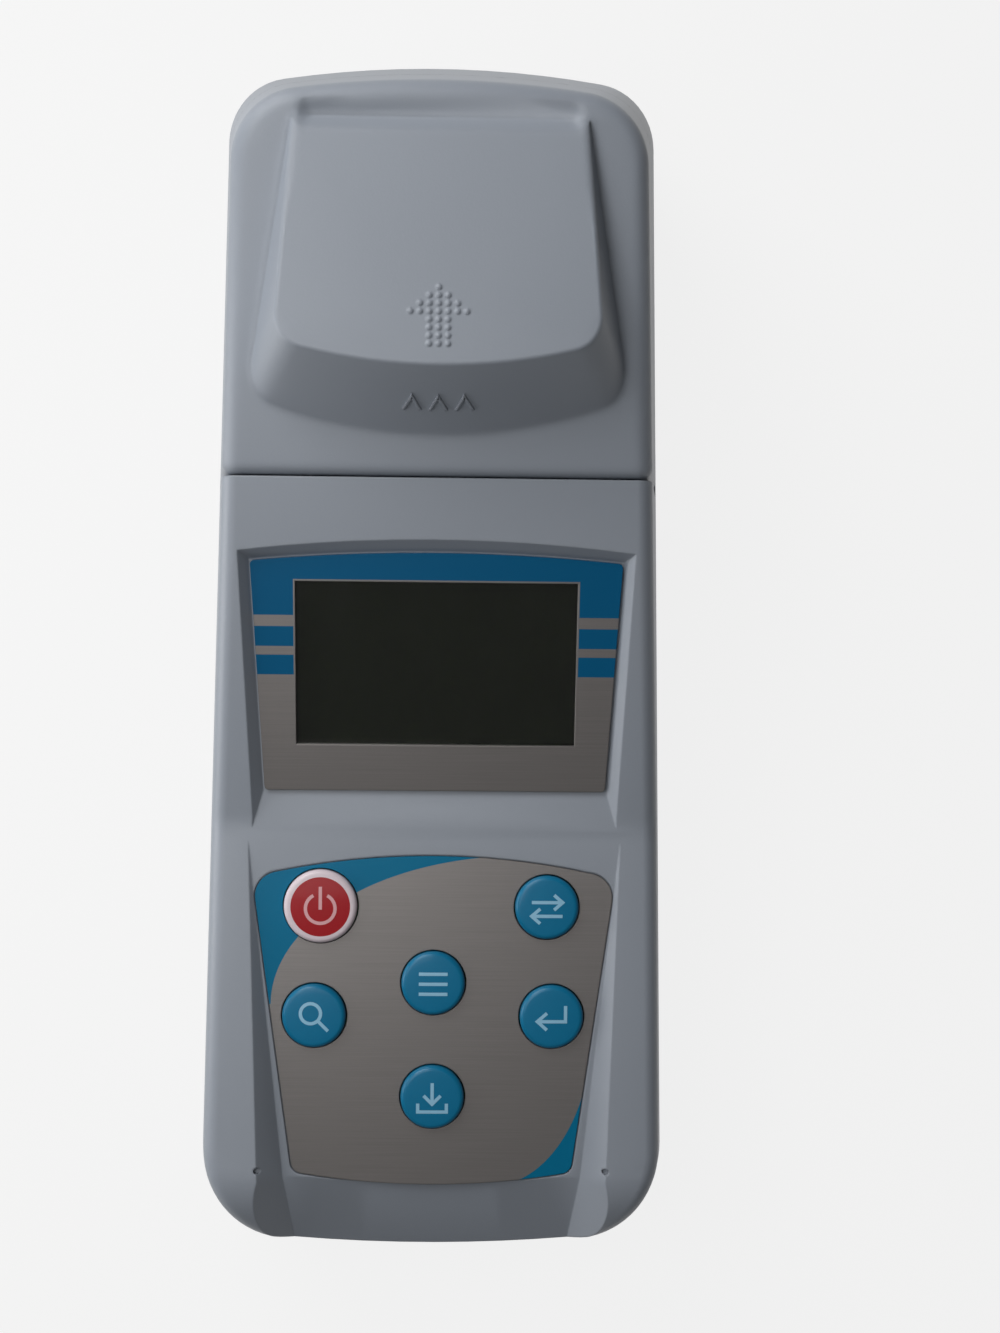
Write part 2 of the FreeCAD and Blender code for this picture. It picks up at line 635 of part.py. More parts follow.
def pull_groove(inset=0.0):
    """The pull groove at the cover's far end: a V across the top with a cone at each end of it."""
    low = s.rim_height - s.plateau_drop - s.groove_drop - inset
    rise = s.rim_height + SPARE - low
    reach = s.groove_lean * rise
    straight = s.groove_half_width - s.groove_lean * s.groove_drop
    corners = [V(-straight, s.groove_bottom, low), V(-straight, s.groove_bottom - reach, low + rise),
               V(-straight, s.groove_bottom + reach, low + rise)]
    groove = Part.Face(Part.makePolygon(corners + corners[:1])).extrude(V(2 * straight, 0, 0))
    for side in (-1, 1):
        groove = groove.fuse(Part.makeCone(0, reach, rise, V(side * straight, s.groove_bottom, low)))
    return groove


def arrow_dots():
    """The raised dots on the plateau, laid out as an arrow that points to the head."""
    top = s.rim_height - s.plateau_drop
    ball = (s.dot_radius ** 2 + s.dot_rise ** 2) / (2 * s.dot_rise)
    dots = []
    for row, count in enumerate(ARROW_ROWS):
        for column in range(count):
            centre = V(s.dot_column * (column - (count - 1) / 2), s.arrow_tip - s.dot_row * row,
                       top + s.dot_rise - ball)
            keeper = upright(ball, centre.x, centre.y, top - BITE, top + ball)
            dots.append(Part.makeSphere(ball, centre).common(keeper))
    return dots


def slide_cover():
    """The sliding cover over the sample well. A ledge inside each wall runs under a rail, and its lug meets
    the stop that ends the travel."""
    front = s.seam_place + s.seam_gap
    whole = upper_solid().fuse(plateau()).removeSplitter().cut(pull_groove())
    cover = whole.common(cover_region(s.seam_gap))

    def is_front(edge):
        box = edge.BoundBox
        is_flat = box.YLength < TOUCH and abs(box.YMin - front) < TOUCH
        return is_flat and box.ZMax > s.rail_plane_height + SPARE

    cover = rounded(cover, s.seam_round, is_front)
    hollow = upper_solid(s.cover_wall).fuse(plateau(s.cover_wall)).cut(pull_groove(s.cover_wall))
    cover = cover.cut(hollow).fuse(arrow_dots())
    walls = upper_solid(s.ledge_wall_bite)
    for side in (-1, 1):
        ledge = box_at(sorted((side * ledge_inner, side * s.tail_width / 2)),
                       (s.rail_start, s.rail_start + s.ledge_length), (ledge_low, ledge_top))
        lug = box_at(stop_strip(side), (s.rail_start, s.rail_start + s.stop_length),
                     (s.running_gap + s.seam_gap, ledge_top))
        cover = cover.fuse(framed(ledge.fuse(lug), cover_frame).common(walls))
    return cover.removeSplitter()


def base_shell():
    """The bottom moulding: tray, battery hatch, battery bay walls, screw bosses and posts."""
    drafts = (s.base_draft, s.base_draft, s.base_draft)
    outer = plan_prism(s.foot_height, drafts)
    outer = rounded(outer, s.base_edge_round, lambda edge: edge.BoundBox.ZMax < s.foot_height + TOUCH)
    band = box_at((-s.tail_width, s.tail_width), (-s.body_length, s.body_length),
                  (s.parting_height - s.parting_groove_height, s.parting_height))
    groove = band.common(outer).cut(plan_prism(s.foot_height, drafts, s.parting_groove_depth))
    inner = plan_prism(floor_height, drafts, s.wall)
    base = outer.cut(inner).cut(groove)

    bay_reach = s.cell_length / 2 + s.bay_clearance
    bay_ends = (s.cell_place - bay_reach - s.bay_wall, s.cell_place + bay_reach)
    ribs = [box_at((-s.bay_half_width, s.bay_half_width), (place, place + s.bay_wall),
                   (floor_height, floor_height + s.bay_height)) for place in bay_ends]
    bosses = [upright(s.base_boss_radius, x, y, s.foot_height, s.base_boss_top).common(outer)
              for x, y in SCREW_PLACES]
    door_screws = [(0.0, s.cell_place + end * s.door_screw_offset) for end in (-1, 1)]
    bosses += [upright(s.boss_radius, x, y, s.foot_height + s.door_thickness, s.base_boss_top)
               for x, y in door_screws]
    posts = [upright(s.post_radius, side * (s.main_board_width / 2 - s.main_post_edge),
                     s.main_board_place + end * (s.main_board_length / 2 - s.main_post_edge),
                     floor_height - BITE, s.main_board_height) for side in (-1, 1) for end in (-1, 1)]
    seat = s.well_radius + s.well_wall + s.running_gap
    collar = upright(seat + s.collar_wall, 0, s.well_place, floor_height - BITE,
                     floor_height + s.collar_height)
    collar = collar.cut(upright(seat, 0, s.well_place, floor_height - SPARE, floor_height + SPARE))
    base = base.fuse(ribs + bosses + posts + [collar])

    door_half_width = s.door_width / 2 + s.door_gap
    door_half_length = s.door_length / 2 + s.door_gap
    door_recess = box_at((-door_half_width, door_half_width),
                         (s.cell_place - door_half_length, s.cell_place + door_half_length),
                         (0.0, s.foot_height + s.door_thickness))
    hatch = box_at((-s.hatch_width / 2, s.hatch_width / 2),
                   (s.cell_place - s.hatch_length / 2, s.cell_place + s.hatch_length / 2),
                   (0.0, floor_height))
    cuts = [door_recess, hatch]
    for x, y in SCREW_PLACES:
        cuts.append(upright(s.screw_head_radius + s.clearance_gap, x, y, 0.0, s.head_seat))
        cuts.append(upright(s.screw_radius + s.clearance_gap, x, y, 0.0, s.base_boss_top + OVERRUN))
    for x, y in door_screws:
        cuts.append(upright(s.small_screw_radius + s.pilot_gap, x, y, 0.0, s.base_boss_top - OVERRUN))
    for side in (-1, 1):
        for place in (s.foot_tail_place, s.foot_head_place):
            cuts.append(upright(s.foot_radius + s.fit_gap, side * s.foot_side, place, 0.0, s.foot_thickness))
    return base.cut(cuts)


moulding("base_shell", base_shell())
moulding("upper_case", upper_case())
moulding("slide_cover", slide_cover())


# Display.

def display_panel():
    """The printed metal plate round the screen, with its window cut out."""
    plate = arched_plate(
        (s.panel_bottom_half_width, s.panel_top_half_width), (s.panel_bottom, s.panel_top),
        (0.0, s.panel_rise), (s.panel_corner, s.panel_corner),
        (-s.recess_depth, -s.recess_depth + s.panel_thickness))
    window = box_at((-s.window_width / 2, s.window_width / 2),
                    (s.window_middle - s.window_height / 2, s.window_middle + s.window_height / 2),
                    (-SPARE, SPARE))
    return plate.cut(window)


def keypad_label():
    """The printed metal label on the keypad deck, with a hole for each key."""
    plate = arched_plate(
        (s.label_bottom_half_width, s.label_top_half_width), (s.label_bottom, s.label_top),
        (s.label_sag, s.label_rise), (s.label_bottom_corner, s.label_top_corner),
        (-s.label_recess, -s.label_recess + s.label_thickness))
    holes = [upright(KEY_RADII[name] + s.key_gap, x, y, -SPARE, SPARE) for name, (x, y) in KEYS.items()]
    return plate.cut(holes)


moulding("display_panel", display_panel(), screen_frame)
moulding("keypad_label", keypad_label(), keypad_frame)

pane_width = s.window_width + 2 * s.window_lap
pane_height = s.window_height + 2 * s.window_lap
PANE_WIDTH = "window_width + 2 * window_lap"
PANE_HEIGHT = "window_height + 2 * window_lap"
plate_body("screen_window", PANE_WIDTH, PANE_HEIGHT, "window_thickness", (pane_width, pane_height),
           inside(screen_frame, y=s.window_middle, z=window_low))
plate_body("screen_glass", PANE_WIDTH + " - fit_gap", PANE_HEIGHT + " - fit_gap", "glass_thickness",
           (pane_width - s.fit_gap, pane_height - s.fit_gap),
           inside(screen_frame, y=s.window_middle, z=glass_top - s.glass_thickness))

bezel = plate_body("screen_bezel", "bezel_width", "bezel_height", "bezel_depth",
                   (s.bezel_width, s.bezel_height),
                   inside(screen_frame, y=s.window_middle, z=screen_board_top))
bezel_hole = sketch_on(bezel, "bezel_hole")
draw_rectangle(bezel_hole, PANE_WIDTH + " + fit_gap", PANE_HEIGHT + " + fit_gap",
               (pane_width + s.fit_gap, pane_height + s.fit_gap))
pocket(bezel, bezel_hole)


def drilled_board(label, width, length, start, frame, holes):
    """A circuit board with a hole at each of its fixing screws."""
    board = plate_body(label, width, length, "board_thickness", start, frame)
    radius = s.small_screw_radius + s.fit_gap
    for number, (x, y) in enumerate(holes):
        sketch = sketch_on(board, f"{label}_hole{number}")
        circle = sketch.addGeometry(Part.Circle(V(x, y, 0), V(0, 0, 1), radius), False)
        constrain(sketch, Sketcher.Constraint("Radius", circle, radius), "small_screw_radius + fit_gap")
        pocket(board, sketch)
    return board


drilled_board("screen_board", "screen_board_width",
              "bezel_height + 2 * (bezel_gap + post_radius + post_edge)",
              (s.screen_board_width, 2 * (screen_post_rise + s.post_edge)),
              inside(screen_frame, y=s.window_middle, z=screen_board_top - s.board_thickness),
              [(x, y - s.window_middle) for x, y in SCREEN_POSTS])
drilled_board("keypad_board", "keypad_board_width", "keypad_board_length",
              (s.keypad_board_width, s.keypad_board_length),
              inside(keypad_frame, y=s.keypad_board_middle, z=keypad_board_top - s.board_thickness),
              [(x, y - s.keypad_board_middle) for x, y in KEYPAD_POSTS])

# Keys: each is a round cap with a flange that keeps it under the deck, over its own switch.
flange_height = "-(wall + key_rest_gap + key_flange_thickness)"
for name, (x, y) in KEYS.items():
    radius = "power_key_radius" if name == "power_key" else "key_radius"
    key = disc_body(name, [
        (radius, flange_height, "wall + key_rest_gap + key_flange_thickness + key_rise", KEY_RADII[name]),
        (radius + " + key_flange", flange_height, "key_flange_thickness", KEY_RADII[name] + s.key_flange),
    ], inside(keypad_frame, x, y))
    doc.recompute()
    cap = key.Tip
    crown = [f"Edge{n}" for n, edge in enumerate(cap.Shape.Edges, 1)
             if edge.BoundBox.ZMin > s.key_rise - TOUCH and edge.BoundBox.XLength > s.key_radius]
    dome = key.newObject("PartDesign::Fillet", name + "_round")
    dome.Base = (cap, crown)
    dome.setExpression("Radius", formula("key_round"))

for name, (x, y) in KEYS.items():
    label = name.replace("_key", "_contact")
    switch = plate_body(label, "switch_side", "switch_side", "switch_body",
                        (s.switch_side, s.switch_side), inside(keypad_frame, x, y, keypad_board_top))
    plunger = sketch_on(switch, label + "_plunger", "switch_body")
    draw_circle(plunger, "plunger_radius", s.plunger_radius)
    pad(switch, plunger, "plunger_height")

# Sample well and its optics.
FLOOR = "foot_height + wall"
well_outer = joined("well_outer", [
    block("holder_block", "holder_side", "holder_side", "holder_height - collar_height - fit_gap",
          y="well_place", z=f"{FLOOR} + collar_height + fit_gap"),
    rod("well_tube", "well_radius + well_wall", f"well_top - ({FLOOR})", y="well_place", z=FLOOR)])
well_bore = rod("well_bore", "well_radius", "well_top", y="well_place", z=f"{FLOOR} + well_floor")
light_port = rod("light_port", "port_radius", f"holder_side + 2 * {OVERRUN}",
                 x=f"-holder_side / 2 - {OVERRUN}", y="well_place", z="optic_height", axis=V(1, 0, 0))
scatter_port = rod("scatter_port", "port_radius", f"holder_side / 2 + {OVERRUN}",
                   y=f"well_place - holder_side / 2 - {OVERRUN}", z="optic_height", axis=V(0, 1, 0))
keep(trimmed("sample_holder_shape", well_outer, [well_bore, light_port, scatter_port]), "sample_holder")

lens_back = "well_radius + lens_back_off + lens_thickness"
keep(rod("lens_shape", "optic_radius", "lens_thickness", x=f"-({lens_back})", y="well_place",
         z="optic_height", axis=V(1, 0, 0)), "source_lens")
keep(joined("lamp_shape", [
    rod("lamp_can", "optic_radius", f"holder_side / 2 - ({lens_back}) - fit_gap", x="-holder_side / 2",
        y="well_place", z="optic_height", axis=V(1, 0, 0)),
    rod("lamp_flange", "optic_radius + lamp_rim", "lamp_rim_thickness",
        x="-holder_side / 2 - lamp_rim_thickness", y="well_place", z="optic_height", axis=V(1, 0, 0)),
]), "source_lamp")
keep(rod("transmission_shape", "optic_radius", "detector_length", x="holder_side / 2 - detector_length",
         y="well_place", z="optic_height", axis=V(1, 0, 0)), "transmission_detector")
keep(rod("scatter_shape", "optic_radius", "detector_length", y="well_place - holder_side / 2",
         z="optic_height", axis=V(0, 1, 0)), "scatter_detector")
OPTIC_BOARD_LOW = "optic_height - optic_board_side / 2"
keep(block("source_board_shape", "board_thickness", "optic_board_side", "optic_board_side",
           x="-holder_side / 2 - lamp_rim_thickness - board_thickness / 2", y="well_place",
           z=OPTIC_BOARD_LOW), "source_board")
keep(block("transmission_board_shape", "board_thickness", "optic_board_side", "optic_board_side",
           x="holder_side / 2 + board_thickness / 2", y="well_place", z=OPTIC_BOARD_LOW),
     "transmission_board")
keep(block("scatter_board_shape", "optic_board_side", "board_thickness", "optic_board_side",
           y="well_place - holder_side / 2 - board_thickness / 2", z=OPTIC_BOARD_LOW), "scatter_board")

# Cells, contacts and the battery door.
CELL_HEIGHT = f"{FLOOR} + cell_lift + cell_radius"
CELL_COUNT = 5


def cell_row():
    """Each cell's number, its place across the bay and the way that its raised end points."""
    for number in range(CELL_COUNT):
        yield number, f"{number - (CELL_COUNT - 1) / 2} * cell_pitch", 1 if number % 2 else -1


for number, across, way in cell_row():
    nub_start = f"cell_place + {way} * cell_length / 2"
    can = rod(f"cell_can{number}", "cell_radius", "cell_length", x=across, y="cell_place - cell_length / 2",
              z=CELL_HEIGHT, axis=V(0, 1, 0))
    nub = rod(f"cell_nub{number}", "cell_nub_radius", "cell_nub_length", x=across, y=nub_start, z=CELL_HEIGHT,
              axis=V(0, way, 0))
    keep(joined(f"cell_shape{number}", [can, nub]), f"battery_cell_{number + 1}")


def contact_row(name, end):
    """The plates at one end of the bay, each with a spring on the cells' flat ends."""
    wall_face = f"cell_place + {end} * (cell_length / 2 + bay_clearance)"
    shapes = []
    for number, across, way in cell_row():
        shapes.append(block(f"{name}_plate{number}", "contact_side", "contact_thickness", "contact_side",
                            x=across, y=f"{wall_face} - {end} * contact_thickness / 2",
                            z=f"{CELL_HEIGHT} - contact_side / 2"))
        if way != end:
            shapes.append(rod(f"{name}_coil{number}", "spring_radius", "bay_clearance - contact_thickness",
                              x=across, y=f"{wall_face} - {end} * contact_thickness", z=CELL_HEIGHT,
                              axis=V(0, -end, 0)))
    return keep(joined(name + "_shape", shapes), name)


contact_row("tail_contacts", -1)
contact_row("head_contacts", 1)

door_plate = block("door_plate", "door_width", "door_length", "door_thickness", y="cell_place",
                   z="foot_height")
door_holes = [rod(f"door_hole{n}", "small_screw_radius + clearance_gap", "2 * wall",
                  y=f"cell_place + {end} * door_screw_offset", z="0") for n, end in enumerate((-1, 1))]
keep(trimmed("door_shape", door_plate, door_holes), "battery_door")


def screw_group(label, radius, head_radius, head_height, length, places, frame=None):
    """A group of alike screws: the head's seat is at each place and the shank points up."""
    shapes = []
    for number, (x, y, z) in enumerate(places):
        shapes.append(rod(f"{label}_shank{number}", radius, length, x, y, z))
        shapes.append(rod(f"{label}_head{number}", head_radius, head_height, x, y, f"{z} - {head_height}"))
    return keep(joined(label + "_shape", shapes), label, frame)


case_places = [(f"{side} * {x}", y, "head_seat") for x, y in
               (("tail_screw_side", "tail_screw_place"), ("middle_screw_side", "middle_screw_place"),
                ("head_screw_side", "head_screw_place")) for side in (-1, 1)]
screw_group("case_screws", "screw_radius", "screw_head_radius", "screw_head_height", "screw_length",
            case_places)
door_places = [("0", f"cell_place + {end} * door_screw_offset", "foot_height") for end in (-1, 1)]
screw_group("door_screws", "small_screw_radius", "small_head_radius", "foot_height / 2",
            "small_screw_length", door_places)
for label, posts, board_top, frame in (
        ("screen_board_screws", SCREEN_POSTS, screen_board_top, screen_frame),
        ("keypad_board_screws", KEYPAD_POSTS, keypad_board_top, keypad_frame)):
    places = [(str(x), str(y), str(board_top - s.board_thickness)) for x, y in posts]
    screw_group(label, "small_screw_radius", "small_head_radius", "small_head_height", "small_screw_length",
                places, frame)

# Feet.
for side, side_name in ((-1, "left"), (1, "right")):
    for place, end_name in ((s.foot_tail_place, "tail"), (s.foot_head_place, "head")):
        disc_body(f"foot_{end_name}_{side_name}", [("foot_radius", "0", "foot_thickness", s.foot_radius)],
                  FreeCAD.Placement(V(side * s.foot_side, place, 0), FreeCAD.Rotation()))

# Main board on its posts, with its chips.
keep(block("main_board_shape", "main_board_width", "main_board_length", "board_thickness",
           y="main_board_place", z="main_board_height"), "main_board")
CHIP_FLOOR = "main_board_height + board_thickness"
chips = [block(name, width, length, "chip_height", x, f"main_board_place + ({y})", CHIP_FLOOR)
         for name, width, length, x, y in (
             ("processor", "processor_side", "processor_side", "-chip_column", "-chip_row"),
             ("amplifier", "chip_width", "chip_length", "chip_column", "chip_row"),
             ("regulator", "chip_length", "chip_width", "chip_column", "-chip_row"),
             ("memory", "chip_width", "chip_length", "-chip_column", "chip_row"))]
keep(joined("main_board_chips_shape", chips), "main_board_chips")

doc.recompute()

problems = [f"{obj.Name}: {obj.State}" for obj in doc.Objects if {"Invalid", "Error"} & set(obj.State)]
for obj in PIECES:
    if obj.Shape.isNull() or not obj.Shape.isValid() or not obj.Shape.Solids:
        problems.append(f"{obj.Label}: no valid solid")
if problems:
    raise RuntimeError("; ".join(problems))

os.makedirs("parts", exist_ok=True)
for obj in PIECES:
    obj.Shape.exportStep(f"parts/{obj.Label}.step")
print(len(PIECES), "pieces")
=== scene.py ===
import json
import math

import bmesh
import bpy
import numpy as np
from mathutils import Matrix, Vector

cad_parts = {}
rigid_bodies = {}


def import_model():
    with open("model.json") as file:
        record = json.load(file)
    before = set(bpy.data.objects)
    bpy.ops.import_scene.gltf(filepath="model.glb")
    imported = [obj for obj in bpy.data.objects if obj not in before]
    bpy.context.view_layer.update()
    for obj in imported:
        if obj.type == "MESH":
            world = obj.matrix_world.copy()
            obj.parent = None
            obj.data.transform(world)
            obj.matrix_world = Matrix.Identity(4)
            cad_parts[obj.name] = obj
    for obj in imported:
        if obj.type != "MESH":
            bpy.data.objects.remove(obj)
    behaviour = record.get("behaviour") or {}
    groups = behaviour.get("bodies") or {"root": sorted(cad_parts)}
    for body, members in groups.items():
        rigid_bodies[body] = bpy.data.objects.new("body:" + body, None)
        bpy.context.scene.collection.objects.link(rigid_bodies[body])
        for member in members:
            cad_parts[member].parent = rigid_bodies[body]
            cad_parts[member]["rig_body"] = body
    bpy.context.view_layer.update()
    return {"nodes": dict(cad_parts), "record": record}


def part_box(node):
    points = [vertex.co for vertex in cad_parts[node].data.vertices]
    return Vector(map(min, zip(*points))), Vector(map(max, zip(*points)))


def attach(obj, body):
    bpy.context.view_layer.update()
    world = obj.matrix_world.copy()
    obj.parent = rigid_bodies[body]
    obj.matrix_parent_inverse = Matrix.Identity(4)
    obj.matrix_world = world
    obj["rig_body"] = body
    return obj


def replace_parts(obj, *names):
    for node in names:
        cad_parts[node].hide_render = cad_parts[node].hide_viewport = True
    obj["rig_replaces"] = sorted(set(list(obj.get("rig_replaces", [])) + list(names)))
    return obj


bl_info = {
    "name": "Turbidity meter finish",
    "version": (1, 0, 0),
    "blender": (4, 5, 0),
    "location": "3D View > Sidebar > Meter",
    "description": "Dresses the packed frame of a portable turbidity meter",
    "category": "Object",
}

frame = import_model()
MM = 0.001

# Values that nobody needs to set. Lengths are in metres.
SHARPEST_TURN = 0.4  # least cosine of half a turn, so that a stroke's corner stays short
JOIN_DISTANCE = 2e-6  # points of the frame's meshes that lie closer than this are one point
POLE = 1e-7  # radius of the smallest ring at the middle of a key
KEY_LOW = -0.0021  # height of a key's underside over the deck
KEY_SIDES = 72  # how many times a key's profile is repeated round its axis
GRAIN_DEPTH = 0.00003
FINE_DEPTH = 0.00001  # depth of brush lines and of orange peel
CUT_EDGE = 0.00025  # round of a cut sheet's edge
STREAK_RATIO = 120.0  # length of a brush streak over its width
PIXEL_PITCH = 0.0004  # spacing of the screen's pixels
BAND_PLACE = -0.050  # where the band on a cell's sleeve begins
PLATE_SPAN = 0.06  # height on the display plate that its colour ramp covers
FLOOR_GAP = 0.0002  # how far the floor lies under the feet
WHITE_SHARE = 0.85  # how much of the floor's white is its own, so that a shadow still shows

# Angles in degrees between faces beyond which an edge stays sharp.
MOULDED_ANGLE = 32.0
SHEET_ANGLE = 30.0

# The label's blue corners: centre and radii of the ellipse, and the quarter of it that bounds the blue.
LABEL_CORNERS = (((0.017, -0.031), (0.0476, 0.0284), (-1, 1)), ((0.011, -0.0365), (0.0191, 0.0293), (1, -1)))

# The lamps: name, side and place.
LAMPS = (("key", 0.3, (-0.22, 0.32, 0.35)), ("top", 0.3, (-0.15, 0.0, 0.5)),
         ("side", 0.18, (-0.3, -0.03, 0.1)))

# The camera as fitted to the photograph: focal length and width in its pixels, place, and turns about X, Y
# and Z in degrees.
FOCAL_PIXELS = 1900.0
WIDTH_PIXELS = 1000.0
CAMERA_PLACE = (0.00235, -0.01319, 0.40276)
CAMERA_TURNS = (1.546, -1.543, 0.568)


def linear(code):
    """Turns an sRGB hex colour into the linear red, green and blue that shaders use."""
    values = np.array([int(code[i:i + 2], 16) / 255 for i in (1, 3, 5)])
    return tuple(np.where(values <= 0.04045, values / 12.92, ((values + 0.055) / 1.055) ** 2.4))


def length(name, description, millimetres):
    """A size in metres, given in millimetres."""
    return bpy.props.FloatProperty(name=name, description=description, default=millimetres * MM, min=0.0,
                                   precision=5, unit="LENGTH", subtype="DISTANCE")


def colour(name, description, code):
    """A colour whose default is an sRGB hex value."""
    return bpy.props.FloatVectorProperty(name=name, description=description, default=linear(code), min=0.0,
                                         max=1.0, size=3, subtype="COLOR")


# Sizes and colours.

class CaseFinish(bpy.types.PropertyGroup):
    """Colours and grain of the moulded case."""

    shell: colour("Case", "Grey-blue ABS of the case and the sliding cover", "#8A9099")
    inside: colour("Black mouldings", "Black plastic of the sample holder and the switches", "#1B1C1E")
    grain: length("Grain", "Spacing of the spark-eroded grain, drawn coarser than the real one to show", 0.45)
    edge_round: length("Edge round", "Radius that softens the sharp moulded edges", 0.5)
    foot_round: length("Foot round", "Radius of the hollow round the foot of the cover's wedge", 2.4)
    foot_height: length("Foot height", "Height over the sloped deck where that hollow ends", 4.0)


class PrintFinish(bpy.types.PropertyGroup):
    """Colours and layout of the printed metal plates."""

    metal: colour("Bare metal", "Brushed aluminium of the display plate and the keypad label", "#8B8785")
    ink: colour("Blue ink", "Blue print on the display plate", "#05537A")
    label_ink: colour("Label's blue ink", "Blue print on the keypad label", "#05688B")
    brush: length("Brush lines", "Spacing of the brush lines", 0.16)
    band_low: length("Blue field", "Height on the plate where the blue field starts", 40.1)
    first_low: length("First stripe, low edge", "Low edge of the upper stripe", 34.4)
    first_high: length("First stripe, high edge", "High edge of the upper stripe", 38.1)
    second_low: length("Second stripe, low edge", "Low edge of the lower stripe", 28.9)
    second_high: length("Second stripe, high edge", "High edge of the lower stripe", 32.65)
    window_width: length("Window width", "Width of the opening for the window", 52.0)
    window_height: length("Window height", "Height of the opening for the window", 31.0)
    window_middle: length("Window middle", "Height on the plate of the opening's middle", 31.2)
    bare_edge: length("Bare edge", "Width of the bare metal left round the opening", 0.35)


class KeyFinish(bpy.types.PropertyGroup):
    """Sizes and colours of the round keys."""

    face: colour("Blue key", "Blue of the five menu keys", "#046C92")
    power: colour("Power key", "Red of the power key", "#9C0815")
    power_rim: colour("Power rim", "Pale rim round the power key", "#D6C8CE")
    legend: colour("Legend", "Pale blue of the symbols on the keys", "#8FBFD8")
    power_legend: colour("Power symbol", "Pale pink of the power symbol", "#D6A2A6")
    radius: length("Key radius", "Radius of a blue key", 6.0)
    power_radius: length("Power key radius", "Radius of the power key", 6.9)
    power_face: length("Red disc", "Radius of the red disc inside the pale rim", 5.6)
    rise: length("Rise", "Height of a key's face over the deck", 1.5)
    shoulder: length("Shoulder", "Width of the rounded shoulder", 0.9)
    crown: length("Crown", "How much the face domes", 0.12)
    stroke: length("Stroke", "Width of a symbol's line", 0.62)
    ink: length("Ink", "Thickness of a symbol's ink", 0.03)


class Relief(bpy.types.PropertyGroup):
    """Raised chevrons on the cover's ramp."""

    ramp_front: length("Ramp top", "Place along the body of the ramp's top edge", 47.4)
    ramp_radius: length("Ramp radius", "Radius of the ramp's top edge", 100.0)
    ramp_lean: bpy.props.FloatProperty(name="Ramp lean", default=0.66, min=0.0,
                                       description="How far the ramp runs out for each unit of fall")
    dot_rise: length("Dot rise", "Height of the raised dots over the cover's top", 0.3)
    chevron_level: length("Chevron level", "Height of the chevrons' middle above the table", 69.6)
    chevron_width: length("Chevron width", "Width of a chevron", 2.8)
    chevron_rise: length("Chevron rise", "Length of a chevron up the ramp", 3.4)
    chevron_pitch: length("Chevron pitch", "Distance between chevrons", 4.4)
    chevron_stroke: length("Chevron stroke", "Width of a raised chevron's line", 0.55)
    chevron_height: length("Chevron height", "Height of a raised chevron", 0.3)


class StageLook(bpy.types.PropertyGroup):
    """Camera, floor and light."""

    background: colour("Background", "Floor and backdrop", "#FFFFFF")
    paper: colour("Floor paper", "What the floor throws back onto the object", "#A9A9A8")
    floor_size: bpy.props.FloatProperty(name="Floor", description="Side of the floor", default=6.0, min=1.0,
                                        unit="LENGTH")
    key_power: bpy.props.FloatProperty(name="Key light", description="Power of the lamp beyond the head",
                                       default=1.7, min=0.0, unit="POWER")
    top_power: bpy.props.FloatProperty(name="Top light", description="Power of the lamp overhead",
                                       default=0.75, min=0.0, unit="POWER")
    side_power: bpy.props.FloatProperty(name="Side light", description="Power of the low lamp on the left",
                                        default=0.4, min=0.0, unit="POWER")
    ambient: bpy.props.FloatProperty(name="Room light", default=0.06, min=0.0, max=10.0,
                                     description="Strength of the even light from all round")
    mirrored: bpy.props.FloatProperty(name="Mirrored room", default=0.12, min=0.0, max=10.0,
                                      description="Strength of the room in reflections")


# Planes of the object, worked out from the packed joints.

def joint_axis(name):
    """The axis of one joint in the packed record."""
    return next(joint["axis"] for joint in frame["record"]["behaviour"]["joints"] if joint["name"] == name)


slide = joint_axis("cover_slide")
press = joint_axis("menu_press")
SLOPE = math.atan2(slide[2], slide[1])
DISH = math.atan2(press[1], -press[2])

# Where each plane crosses the middle of the body: place along the body and height.
SCREEN_ORIGIN = (-0.034, 0.044)
KEYPAD_ORIGIN = (-0.03657, 0.044)

# The centres of the keys on the keypad's plane, in millimetres.
KEYS = {
    "power_key": (-21.3, -12.3), "switch_key": (21.3, -12.3), "menu_key": (0.0, -26.8),
    "query_key": (-22.4, -33.1), "enter_key": (22.4, -33.1), "store_key": (0.0, -48.5),
}


def onto(points, origin, angle):
    """Takes points from a sloped plane to the object's frame: a turn about X by the plane's angle, then a
    shift to the plane's origin."""
    x, y, z = np.moveaxis(np.asarray(points, float), -1, 0)
    cosine, sine = math.cos(angle), math.sin(angle)
    return np.stack([x, origin[0] + y * cosine - z * sine, origin[1] + y * sine + z * cosine], -1)


# Meshes.

def piece(name, points, faces, body, material, smooth=True):
    """One finished piece: a mesh in the object's frame that rides on a body."""
    mesh = bpy.data.meshes.new(name)
    mesh.from_pydata(np.asarray(points).reshape(-1, 3).tolist(), [], [list(map(int, face)) for face in faces])
    mesh.update()
    mesh.polygons.foreach_set("use_smooth", np.full(len(mesh.polygons), smooth))
    obj = bpy.data.objects.new(name, mesh)
    bpy.context.scene.collection.objects.link(obj)
    mesh.materials.append(material)
    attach(obj, body)
    return obj


def grid_faces(rows, columns, closed_rows=False, closed_columns=False):
    """The quads of a grid of rows by columns points, wrapped round where it is closed."""
    i, j = np.meshgrid(np.arange(rows if closed_rows else rows - 1),
                       np.arange(columns if closed_columns else columns - 1), indexing="ij")
    i, j = i.ravel(), j.ravel()
    near, far = i * columns, (i + 1) % rows * columns
    return np.stack([near + j, near + (j + 1) % columns, far + (j + 1) % columns, far + j], 1)


